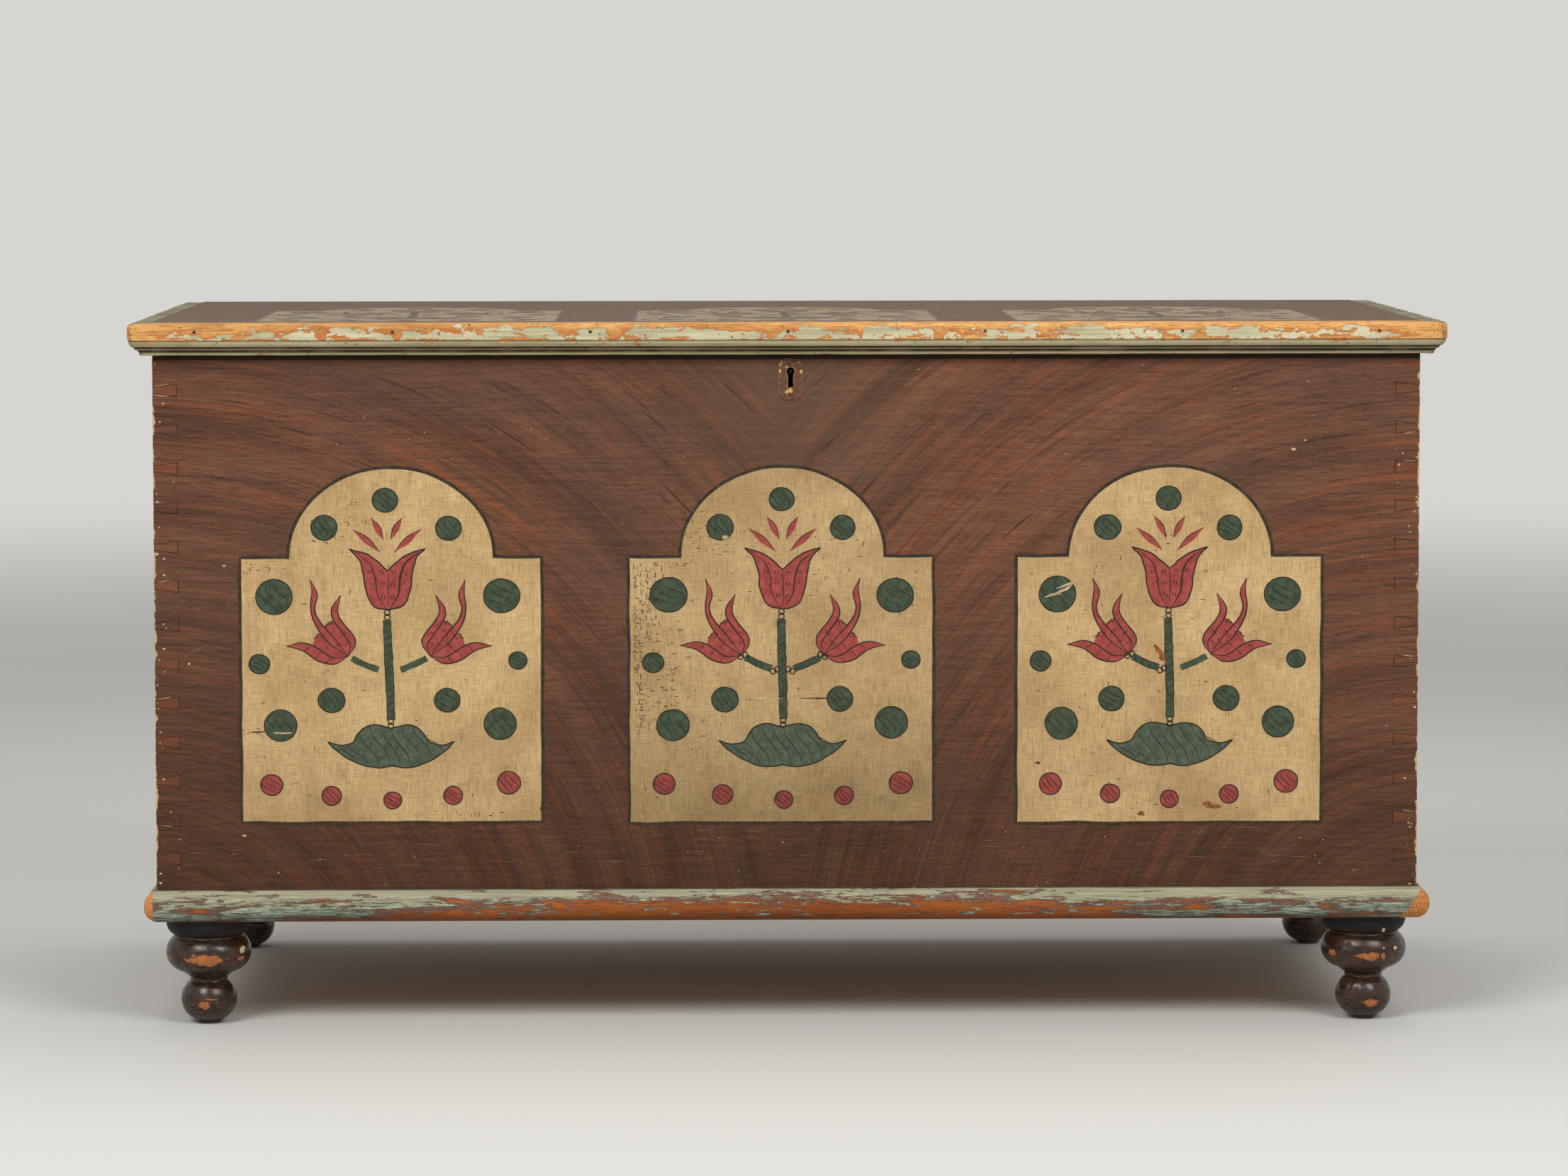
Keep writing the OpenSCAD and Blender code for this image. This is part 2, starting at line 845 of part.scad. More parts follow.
// Space for the bolt through its guides
module bolt_way() {
    block([keyhole_x - lock_w, y_bolt - bolt_t / 2 - bolt_gap, z_bolt - bolt_h / 2 - bolt_gap],
          [keyhole_x + lock_w, y_bolt + bolt_t / 2 + bolt_gap, z_bolt + bolt_h / 2 + bolt_gap]);
}

module lock_case() {
    left = keyhole_x - lock_w / 2;
    right = keyhole_x + lock_w / 2;
    inner_top = z_lock - lock_t;
    guide_low = z_bolt - bolt_h / 2 - lock_t;
    color(IRON)
        difference() {
            union() {
                difference() {
                    block([left, y_in, z_lock - lock_h], [right, y_in + lock_d, z_lock]);
                    block([left + lock_t, y_in - cut, z_lock - lock_h + lock_t],
                          [right - lock_t, y_in + lock_d - lock_t, inner_top]);
                }
                block([left - lock_ear, y_in, z_lock - lock_h], [left, y_in + lock_t, z_lock]);
                block([right, y_in, z_lock - lock_h], [right + lock_ear, y_in + lock_t, z_lock]);
                difference() {
                    for (x = [guide_far, guide_near])
                        block([x, y_in, guide_low], [x + guide_t, y_in + lock_d - lock_t, inner_top]);
                    bolt_way();
                }
            }
            block([x_staple - loop_t / 2 - loop_gap, y_bolt - loop_w / 2 - loop_gap, inner_top - cut],
                  [x_staple + loop_t / 2 + loop_gap, y_bolt + loop_w / 2 + loop_gap, z_lock + cut]);
            lock_nail_set(nail_gap);
        }
}

module lock_bolt() {
    talon_w = bolt_h;
    color(IRON)
        difference() {
            block([bolt_tip - bolt_l, y_bolt - bolt_t / 2, z_bolt - bolt_h / 2],
                  [bolt_tip, y_bolt + bolt_t / 2, z_bolt + bolt_h / 2]);
            translate([keyhole_x - talon_w / 2, 0, z_bolt - bolt_h / 2])
                along_y(y_bolt - bolt_t, 2 * bolt_t)
                    polygon([
                        [-talon_w / 2, -cut], [talon_w / 2, -cut], [talon_w / 3, bolt_h / 3],
                        [-talon_w / 3, bolt_h / 3]
                    ]);
        }
}

// Leaf spring, from the end of the lock up to the tail of the bolt
module bolt_spring() {
    left = keyhole_x - lock_w / 2 + lock_t;
    low = z_lock - lock_h + lock_t;
    top = z_bolt - bolt_h / 2 - bolt_gap;
    right = guide_far - bolt_gap;
    leaf = 1;
    color(IRON)
        along_y(y_bolt - bolt_t / 2, bolt_t)
            polygon([
                [left, low], [left + leaf, low], [left + leaf, top - 2 * bolt_h],
                [right, top - leaf], [right, top], [right - leaf, top], [left, top - 2 * bolt_h + leaf]
            ]);
}

module key_pin() {
    color(IRON)
        translate([keyhole_x, y_front + front_t / 4, z_key])
            rotate([-90, 0, 0]) cylinder(r = key_pin_r, h = front_t * 3 / 4 + lock_d - lock_t);
}

// Staple on the underside of the lid

module at_staple_nails() {
    for (side = [-1, 1])
        translate([x_staple + side * (staple_l / 2 - head_r), y_bolt, z_rim - staple_t]) children();
}

module lid_staple() {
    color(IRON)
        difference() {
            union() {
                block([x_staple - staple_l / 2, y_bolt - staple_w / 2, z_rim - staple_t],
                      [x_staple + staple_l / 2, y_bolt + staple_w / 2, z_rim]);
                block([x_staple - loop_t / 2, y_bolt - loop_w / 2, z_loop],
                      [x_staple + loop_t / 2, y_bolt + loop_w / 2, z_rim]);
            }
            block([x_staple - loop_t, y_bolt - loop_w / 2 + loop_rim, z_bolt - hole_h / 2],
                  [x_staple + loop_t, y_bolt + loop_w / 2 - loop_rim, z_bolt + hole_h / 2]);
            at_staple_nails() translate([0, 0, -cut]) nail_z(staple_t + 2 * cut, nail_gap);
        }
}

module staple_nails() {
    color(IRON) at_staple_nails() nail_z(staple_t + iron_nail_l, 0);
}

front_board();
back_board();
left_end_board();
right_end_board();
bottom_board();
base_moulding_front();
base_moulding_left();
base_moulding_right();
foot_front_left();
foot_front_right();
foot_back_left();
foot_back_right();
till_side();
till_bottom();
escutcheon();
escutcheon_nails();
lock_case();
lock_bolt();
bolt_spring();
key_pin();
lock_nails();
back_strap_left();
back_strap_right();
hinge_pin_left();
hinge_pin_right();
back_strap_nails();
base_moulding_nails();
bottom_nails();
lid_board();
lid_moulding_front();
lid_moulding_left();
lid_moulding_right();
lid_strap_left();
lid_strap_right();
lid_strap_nails();
lid_staple();
staple_nails();
lid_moulding_nails();
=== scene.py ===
"""The looks of a painted blanket chest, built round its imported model.

Lengths are metres. The painted panels and the outlines of the mouldings and feet are drawn in millimetres.
"""

import math
import random
from collections import namedtuple

import bmesh
import bpy
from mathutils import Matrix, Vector, geometry, noise


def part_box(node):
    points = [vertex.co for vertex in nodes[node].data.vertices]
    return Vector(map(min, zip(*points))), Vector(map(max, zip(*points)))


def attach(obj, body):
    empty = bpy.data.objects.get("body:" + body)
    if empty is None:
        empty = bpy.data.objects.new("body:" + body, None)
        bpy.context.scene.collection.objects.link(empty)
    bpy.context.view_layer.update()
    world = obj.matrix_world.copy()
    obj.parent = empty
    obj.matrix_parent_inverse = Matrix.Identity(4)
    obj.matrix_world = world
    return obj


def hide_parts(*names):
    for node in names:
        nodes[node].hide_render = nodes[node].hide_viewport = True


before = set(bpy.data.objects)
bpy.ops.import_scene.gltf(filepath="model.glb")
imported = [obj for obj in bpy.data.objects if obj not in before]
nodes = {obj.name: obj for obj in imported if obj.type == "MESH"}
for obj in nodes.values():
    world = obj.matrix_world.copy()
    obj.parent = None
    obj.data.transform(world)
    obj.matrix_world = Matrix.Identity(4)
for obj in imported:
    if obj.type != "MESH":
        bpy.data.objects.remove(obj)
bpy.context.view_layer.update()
rng = random.Random(1803)

MM = 0.001

# Places taken from the frame
front_low, front_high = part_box("front_board")
back_low, back_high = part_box("back_board")
lid_low, lid_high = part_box("lid_board")
plate_low, plate_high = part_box("escutcheon")
Y_FRONT = front_low.y
Y_INSIDE = front_high.y
Y_BACK = back_high.y
Z_CASE = front_low.z
Z_RIM = front_high.z
HALF_W = front_high.x
LID_HALF = lid_high.x
LID_FRONT = lid_low.y
Z_LID = lid_high.z

# Camera, in the photograph's frame
CAMERA_PLACE = (-0.0945, -5.3, 0.91)
CAMERA_TURN = (86.179, 0.056, -1.04)
CAMERA_LENS = 117.3
CAMERA_SHIFT_Y = -0.0872

# Outlines of the mouldings, in millimetres
LID_T, FACE_H, NOSE_R = 25.0, 17.0, 5.0
QUIRK, OVOLO_R, FILLET_H, FILLET_OUT, COVE_R = 1.0, 7.0, 1.6, 0.9, 6.0
BASE_OUT, BASE_H, BASE_R = 12.5, 32.0, 17.5

# The lid's left end is worn to this share of its overhang
LEFT_SLIM = 0.88

# Dovetails of the front corners
TAILS = 14
PIN_ROOT = 12.5
PIN_TIP = 6.0
END_T = 24.0


def srgb(red, green, blue):
    """A colour read as 0 to 255 on a screen, for a shader."""
    parts = [c / 255 for c in (red, green, blue)]
    return tuple(c / 12.92 if c < 0.04045 else ((c + 0.055) / 1.055) ** 2.4 for c in parts) + (1.0,)


# Colours
PALE = srgb(214, 213, 209)
BROWN_DARK = srgb(74, 48, 35)
BROWN = srgb(96, 66, 50)
BROWN_LIGHT = srgb(110, 75, 55)
BROWN_RED = srgb(134, 74, 43)
BROWN_GREY = srgb(82, 59, 49)
BROWN_BLACK = srgb(50, 40, 33)
CREAM_LIGHT = srgb(200, 170, 122)
CREAM = srgb(184, 153, 105)
CREAM_DARK = srgb(158, 127, 85)
CREAM_DIRT = srgb(122, 95, 65)
# The lid's top: faded colours, greyed by a painted sheen that stands for the glare on its top
LID_CREAM_AND_SHEEN = srgb(136, 127, 110)
LID_BROWN_AND_SHEEN = srgb(109, 94, 83)
GREEN_PALE = srgb(214, 206, 172)
GREEN = srgb(190, 183, 148)
GREEN_DEEP = srgb(146, 139, 106)
BASE_GREEN = srgb(166, 162, 134)
BASE_GREEN_DEEP = srgb(130, 128, 102)
BASE_BLUE = srgb(160, 170, 152)
BASE_BLUE_DEEP = srgb(104, 116, 100)
UNDERCOAT = srgb(104, 74, 62)
ORANGE_WOOD = srgb(152, 82, 34)
CORNER_WOOD = srgb(208, 142, 80)
NOSE_WOOD = srgb(204, 146, 82)
NOSE_WOOD_DARK = srgb(154, 100, 52)
LEAF = srgb(72, 85, 67)
LEAF_DARK = srgb(54, 64, 48)
MOSS = srgb(86, 96, 80)
MOSS_DARK = srgb(66, 76, 60)
RED = srgb(162, 76, 70)
RED_DARK = srgb(138, 60, 54)
INK = srgb(33, 32, 27)
PINE_LIGHT = srgb(186, 146, 100)
PINE = srgb(160, 118, 76)
PINE_DARK = srgb(112, 78, 48)
FOOT_BLACK = srgb(30, 19, 12)
FOOT_BROWN = srgb(74, 50, 34)
IRON_DARK = srgb(44, 40, 38)
IRON_RUST = srgb(92, 62, 44)
BRASS = srgb(196, 152, 84)


# Shader values, written with ordinary arithmetic
class Field:
    """A number that varies over a surface, worked out by a material's nodes."""

    def __init__(self, graph, socket):
        self.graph = graph
        self.socket = socket

    def __add__(self, other):
        return self.graph.math("ADD", self, other)

    def __sub__(self, other):
        return self.graph.math("SUBTRACT", self, other)

    def __rsub__(self, other):
        return self.graph.math("SUBTRACT", other, self)

    def __mul__(self, other):
        return self.graph.math("MULTIPLY", self, other)

    __radd__, __rmul__ = __add__, __mul__

    def __abs__(self):
        return self.graph.math("ABSOLUTE", self)

    def smooth(self, low, high):
        """0 below low, 1 above high and smooth between, the other way round if high is below low."""
        if high < low:
            return 1 - self.smooth(high, low)
        return self.graph.smooth(self, low, high)


# A coat of paint, wood or metal: colour, roughness and the height of its surface in millimetres
Coat = namedtuple("Coat", "colour rough height")


class Tree:
    """The nodes of a material or of the world."""

    def __init__(self, owner):
        owner.use_nodes = True
        self.tree = owner.node_tree
        self.tree.nodes.clear()

    def node(self, kind, *values, **settings):
        made = self.tree.nodes.new(kind)
        for name, value in settings.items():
            setattr(made, name, value)
        for socket, value in zip(made.inputs, values):
            self.put(socket, value)
        return made

    def put(self, socket, value):
        if isinstance(value, Field):
            value = value.socket
        if isinstance(value, bpy.types.NodeSocket):
            self.tree.links.new(value, socket)
        else:
            socket.default_value = value

    def math(self, operation, a, b=0.0):
        return Field(self, self.node("ShaderNodeMath", a, b, operation=operation).outputs[0])

    def most(self, a, b):
        return self.math("MAXIMUM", a, b)


class Graph(Tree):
    """The nodes of one material, with the place on the object along x, y and z."""

    def __init__(self, name):
        self.material = bpy.data.materials.new(name)
        super().__init__(self.material)
        place = self.node("ShaderNodeSeparateXYZ", self.node("ShaderNodeTexCoord").outputs["Object"])
        self.x, self.y, self.z = [Field(self, s) for s in place.outputs]

    def smooth(self, value, low, high):
        made = self.node("ShaderNodeMapRange", value, low, high, 0.0, 1.0, interpolation_type="SMOOTHSTEP")
        return Field(self, made.outputs[0])

    def noise(self, x, y, z, detail=3.0, rough=0.55, distort=0.0):
        """Cloudy values round 0.5, with the steps along each axis already in x, y and z."""
        place = self.node("ShaderNodeCombineXYZ", x, y, z).outputs[0]
        made = self.node("ShaderNodeTexNoise")
        self.put(made.inputs["Vector"], place)
        made.inputs["Scale"].default_value = 1.0
        made.inputs["Detail"].default_value = detail
        made.inputs["Roughness"].default_value = rough
        made.inputs["Distortion"].default_value = distort
        return Field(self, made.outputs[0])

    def cloud(self, step, *settings):
        """Cloudy values with the same step along each axis."""
        return self.noise(self.x * step, self.y * step, self.z * step, *settings)

    def mix(self, share, a, b):
        made = self.node("ShaderNodeMix", data_type="RGBA")
        self.put(made.inputs["Factor"], share)
        self.put(made.inputs[6], a)
        self.put(made.inputs[7], b)
        return made.outputs[2]

    def ellipse(self, u, v, place, half):
        """0 in the middle of an ellipse, 1 along its edge and more outside it."""
        across = (u - place[0]) * (1 / half[0])
        up = (v - place[1]) * (1 / half[1])
        return across * across + up * up

    def shade(self, colour, amount):
        made = self.node("ShaderNodeVectorMath", operation="SCALE")
        self.put(made.inputs[0], colour if isinstance(colour, bpy.types.NodeSocket) else colour[:3])
        self.put(made.inputs["Scale"], amount)
        return made.outputs[0]

    def over(self, share, upper, lower, thick=0.0):
        """One coat over another where share is 1; its edge stands up by thick millimetres."""
        colour = self.mix(share, lower.colour, upper.colour)
        rough = lower.rough + share * (upper.rough - lower.rough)
        height = lower.height + share * (upper.height - lower.height + thick)
        return Coat(colour, rough, height)

    def finish(self, coat, specular=0.4, metallic=0.0):
        """Ends the tree with the coat on a shader, and gives the material."""
        shader = self.node("ShaderNodeBsdfPrincipled")
        self.put(shader.inputs["Base Color"], coat.colour)
        self.put(shader.inputs["Roughness"], coat.rough)
        self.put(shader.inputs["Metallic"], metallic)
        shader.inputs["Specular IOR Level"].default_value = specular
        bump = self.node("ShaderNodeBump")
        bump.inputs["Strength"].default_value = 1.0
        bump.inputs["Distance"].default_value = MM
        self.put(bump.inputs["Height"], coat.height)
        self.put(shader.inputs["Normal"], bump.outputs[0])
        self.node("ShaderNodeOutputMaterial", shader.outputs[0])
        return self.material


# Coats

def pine(g, along, across, deep, light=PINE_LIGHT, mid=PINE, dark=PINE_DARK, rough=0.62):
    """Bare planed pine, with its grain running along the first direction."""
    ring = g.noise(along * 2.2, across * 26, deep * 26, 2.0, 0.5, 0.6)
    fibre = g.noise(along * 14, across * 420, deep * 420, 4.0, 0.6)
    bands = g.math("SINE", ring * 95)
    tone = g.noise(along * 1.6, across * 5, deep * 5, 3.0)
    colour = g.mix(bands.smooth(-0.6, 1.0) * 0.5 + fibre.smooth(0.3, 0.7) * 0.4, light, mid)
    colour = g.mix(fibre.smooth(0.6, 0.78) * 0.55, colour, dark)
    colour = g.mix(tone.smooth(0.5, 0.75) * 0.45, colour, dark)
    return Coat(colour, rough + fibre * 0.12, fibre * 0.12 + bands * 0.02)


def brown_coat(g, along, across, seed, marked):
    """Brown paint combed with a dry brush along the first direction where marked is 1, over level grain."""
    wide = g.noise(along * 3.5, across * 30, seed, 4.0, 0.6)
    streak = g.noise(along * 4, across * 130, seed + 3.7, 3.0, 0.6)
    hair = g.noise(along * 7, across * 420, seed + 6.1, 3.0, 0.65)
    cloud = g.noise(g.x * 5, g.y * 5, g.z * 7, 3.0, 0.6)
    grain = g.noise(g.x * 20, g.y * 20, g.z * 430, 4.0, 0.75)
    colour = g.mix(0.5 + (wide.smooth(0.16, 0.84) - 0.5) * marked, BROWN_DARK, BROWN_LIGHT)
    colour = g.mix(streak.smooth(0.48, 0.74) * cloud.smooth(0.36, 0.62) * marked * 0.55, colour, BROWN_RED)
    colour = g.mix(hair.smooth(0.5, 0.7) * marked * 0.5, colour, BROWN_RED)
    colour = g.mix(hair.smooth(0.46, 0.32) * marked * 0.45, colour, BROWN_BLACK)
    colour = g.mix(cloud.smooth(0.5, 0.32) * 0.5, colour, BROWN_GREY)
    fine = g.noise(g.x * 160, g.y * 160, g.z * 900, 3.0, 0.7)
    colour = g.shade(colour, grain * 1.4 + fine * 1.2 - 0.3)
    return Coat(colour, 0.5 + wide * 0.12, grain * 0.2 + hair * 0.05 + fine * 0.15)


def worn_specks(g, coat, amount, colour):
    """Small pale knocks in a coat."""
    speck = g.cloud(210, 2.0, 0.5)
    region = g.cloud(17, 2.0, 0.6)
    share = (speck + (region - 0.5) * 0.5).smooth(0.82 - amount, 0.87 - amount)
    return g.over(share, Coat(colour, 0.75, coat.height), coat, -0.15)


# Each half of the front is combed in arcs round a point by its lower outer corner
SWEEP_X, SWEEP_Z = 0.633, 0.024
PITCH = (Z_RIM - Z_CASE) / TAILS


def case_material():
    """Boards of the case: combed brown outside and bare pine inside."""
    g = Graph("case_paint")
    side = abs(g.x)
    inward = SWEEP_X - side
    rise = g.z - SWEEP_Z
    radius = g.math("SQRT", inward * inward + rise * rise)
    along = radius * g.math("ARCTAN2", inward, rise) - (g.y - Y_FRONT)
    paint = brown_coat(g, along, radius, g.math("SIGN", g.x) * 4.3, side.smooth(0.0, 0.03))
    # Darker towards the bottom: partly painted shade for light falling off downwards, partly the paint's own
    # darker tone; lighter on the right half
    colour = g.shade(paint.colour, (0.6 + g.z.smooth(0.13, 0.5) * 0.4) * (1 + g.x.smooth(0.02, 0.2) * 0.1))
    pins = g.math("COSINE", (g.z - Z_CASE) * (2 * math.pi / PITCH)).smooth(0.5, 0.75)
    pins = pins * side.smooth(HALF_W - 0.0245, HALF_W - 0.0235)
    some = g.noise(g.x * 3, g.y * 3, g.z * 21, 1.0)
    colour = g.mix(pins * some.smooth(0.4, 0.6) * 0.3, colour, BROWN_RED)
    key = g.math("SQRT", g.x * g.x + (g.z - 0.63) * (g.z - 0.63)).smooth(0.17, 0.03)
    colour = g.mix(key * 0.4, colour, srgb(92, 74, 59))
    # A nearly black band just under the rim: painted shadow of the lid's moulding, and grime where the
    # moulding covers it
    colour = g.mix(g.z.smooth(Z_RIM - 0.0098, Z_RIM - 0.0082) * 0.92, colour, srgb(22, 15, 11))
    paint = worn_specks(g, paint._replace(colour=colour), 0.02, srgb(168, 138, 108))
    corner = (HALF_W - side) + (g.y - Y_FRONT)
    bite = g.noise(g.x * 90, g.y * 90, g.z * 70, 4.0, 0.65)
    chip = (bite - corner * 75).smooth(0.43, 0.5)
    paint = g.over(chip, Coat(srgb(188, 156, 116), 0.7, bite), paint, -0.3)
    end = side.smooth(HALF_W - 0.0262, HALF_W - 0.025)
    wood = pine(g, g.x + end * (g.y - g.x), g.z, g.y + end * (g.x - g.y))
    outer = side.smooth(HALF_W - 0.002, HALF_W - 0.001)
    outside = g.most(outer, g.y.smooth(Y_FRONT + 0.002, Y_FRONT + 0.001))
    return g.finish(g.over(outside, paint, wood), specular=0.14)


def lid_material():
    """The lid board: dull grey-brown on top, more rubbed than the front, its grey partly a painted sheen, and
    bare pine below.
    """
    g = Graph("lid_paint")
    bend = g.y + g.noise(g.x * 2.5, g.y * 3, 0.0, 2.0) * 0.08
    paint = brown_coat(g, g.x, bend, 5.2, 1.0)
    rub = g.noise(g.x * 60, g.y * 45, 2.0, 5.0, 0.75)
    # Most of the top gets the lid's grey-brown: rubbed paint, with a painted sheen for the glare on it
    paint = g.over(0.7 + rub.smooth(0.35, 0.65) * 0.28, Coat(LID_BROWN_AND_SHEEN, 0.75, rub), paint, -0.05)
    level = g.noise(g.x * 8, g.y * 150, 3.0, 5.0, 0.7)
    paint = paint._replace(colour=g.shade(paint.colour, 0.2 + rub * 0.5 + level * 1.1))
    paint = g.over(rub.smooth(0.6, 0.72) * 0.35, Coat(srgb(158, 144, 126), 0.75, rub), paint)
    paint = worn_specks(g, paint, 0.05, srgb(180, 160, 132))
    wood = pine(g, g.x, g.y, g.z)
    outside = g.z.smooth(Z_LID - 0.002, Z_LID - 0.001)
    return g.finish(g.over(outside, paint, wood), specular=0.04)


def pine_material(name, along):
    """Bare boards inside and behind the case."""
    g = Graph(name)
    axes = {"x": (g.x, g.z, g.y), "y": (g.y, g.z, g.x)}[along]
    coat = pine(g, *axes)
    stain = g.noise(axes[0] * 1.3, axes[1] * 11, axes[2] * 11, 5.0, 0.65)
    coat = g.over(stain.smooth(0.42, 0.72) * 0.55, Coat(PINE_DARK, 0.75, coat.height), coat)
    return g.finish(coat, specular=0.25)


def middle_panel(u):
    """1 across the middle panel and 0 across the others."""
    return abs(u).smooth(0.2, 0.17)


def cream_coat(g, u, v, fade_and_sheen):
    """Thin cream paint with cloth-like brush marks, yellowed, darker on the middle panel, and darker low
    down, partly as painted shade; on the lid it fades to a grey with a painted sheen.
    """
    upright = g.noise(u * 900, v * 60, 1.0, 3.0, 0.7)
    level = g.noise(u * 60, v * 900, 2.0, 3.0, 0.7)
    drag = g.noise(u * 130, v * 6, 3.0, 4.0, 0.6)
    stain = g.noise(u * 9, v * 8, 4.0, 4.0, 0.6)
    dirt = g.noise(u * 30, v * 30, 5.0, 5.0, 0.7)
    fleck = g.noise(u * 420, v * 420, 6.0, 2.0, 0.5)
    pale = g.noise(u * 16, v * 13, 8.0, 4.0, 0.65)
    colour = g.mix(upright * 0.25 + level * 0.25 + pale.smooth(0.4, 0.62) * 0.6, CREAM, CREAM_LIGHT)
    colour = g.mix(stain.smooth(0.4, 0.68) * 0.6, colour, CREAM_DARK)
    colour = g.mix(upright.smooth(0.52, 0.35) * 0.24 + level.smooth(0.5, 0.35) * 0.12, colour, CREAM_DIRT)
    colour = g.mix(drag.smooth(0.46, 0.3) * 0.18 + dirt.smooth(0.54, 0.76) * 0.34, colour, CREAM_DIRT)
    colour = g.shade(colour, 0.3 + (upright + level) * 0.7)
    # Darker on the middle panel, and darker low down: the darkening low down is partly painted shade for
    # light falling off towards the bottom
    middle = middle_panel(u) * (1 - fade_and_sheen)
    foot = v.smooth(0.36, 0.23)
    colour = g.shade(colour, 1 - middle * (0.11 + foot * 0.19) - foot * 0.06)
    colour = g.mix(fleck.smooth(0.7, 0.76) * dirt.smooth(0.45, 0.6) * 0.8, colour, BROWN_BLACK)
    rub = g.noise(u * 40, v * 26, 7.0, 5.0, 0.7)
    colour = g.mix(fade_and_sheen, colour, LID_CREAM_AND_SHEEN)
    colour = g.mix(rub.smooth(0.72 - fade_and_sheen * 0.3, 0.8 - fade_and_sheen * 0.2) * (0.3 + fade_and_sheen * 0.4), colour, BROWN)
    return Coat(colour, 0.55 + level * 0.15 + fade_and_sheen * 0.15, upright * 0.06 + level * 0.06)


def flat_axes(g, face):
    """The two directions across a painted face."""
    return {"front": (g.x, g.z), "lid": (g.x, g.y)}[face]


def cream_material(face, fade_and_sheen):
    g = Graph("cream_" + face)
    u, v = flat_axes(g, face)
    return g.finish(cream_coat(g, u, v, fade_and_sheen), specular=0.14)


def motif_material(name, face, light, dark, fade_and_sheen):
    """Painted figures: opaque colour with brush marks, darker low down, partly as painted shade, and rubbed
    through in places.
    """
    g = Graph(name + "_" + face)
    u, v = flat_axes(g, face)
    brush = g.noise(u * 130, v * 130, 1.0, 4.0, 0.65)
    mark = g.noise(u * 500, v * 60, 2.0, 3.0, 0.6)
    rub = g.noise(u * 75, v * 75, 3.0, 5.0, 0.7)
    colour = g.mix(brush.smooth(0.35, 0.68), dark, light)
    fine = g.noise(u * 900, v * 900, 4.0, 2.0, 0.6)
    colour = g.shade(colour, 0.36 + mark * 0.28 + fine)
    # On the front, darker low down and most on the middle panel: partly painted shade for light falling off
    # towards the bottom
    if not fade_and_sheen:
        colour = g.shade(colour, 1 - v.smooth(0.258, 0.24) * (0.05 + middle_panel(u) * 0.19))
    colour = g.mix(fade_and_sheen * 0.8, colour, LID_BROWN_AND_SHEEN)
    coat = Coat(colour, 0.5 + brush * 0.15 + fade_and_sheen * 0.15, brush * 0.12 + mark * 0.05)
    share = rub.smooth(0.7 - fade_and_sheen * 0.28, 0.78 - fade_and_sheen * 0.22) * (0.5 + fade_and_sheen * 0.35)
    coat = g.over(share, Coat(LID_CREAM_AND_SHEEN if fade_and_sheen else CREAM, 0.65, brush), coat, -0.1)
    return g.finish(coat, specular=0.14)


def line_material(name, light, dark, fade_and_sheen=0.0):
    """Thin lines and marks of one colour, uneven along their length; on the lid faded by the sun and greyed
    by a painted sheen.
    """
    g = Graph(name)
    blot = g.cloud(160, 4.0, 0.7)
    colour = g.mix(fade_and_sheen, g.mix(blot.smooth(0.35, 0.7), dark, light), LID_BROWN_AND_SHEEN)
    return g.finish(Coat(colour, 0.65 + blot * 0.1, blot * 0.1), specular=0.14)


def green_coat(g, along, across, deep):
    """Old green paint, brushed along the moulding and faded."""
    brush = g.noise(along * 12, across * 500, deep * 500, 4.0, 0.65)
    cloud = g.noise(along * 9, across * 30, deep * 30, 4.0, 0.6)
    colour = g.mix(brush.smooth(0.28, 0.66), GREEN_DEEP, GREEN)
    colour = g.mix(cloud.smooth(0.4, 0.7) * 0.7, colour, GREEN_PALE)
    return Coat(colour, 0.6 + brush * 0.15, brush * 0.2)


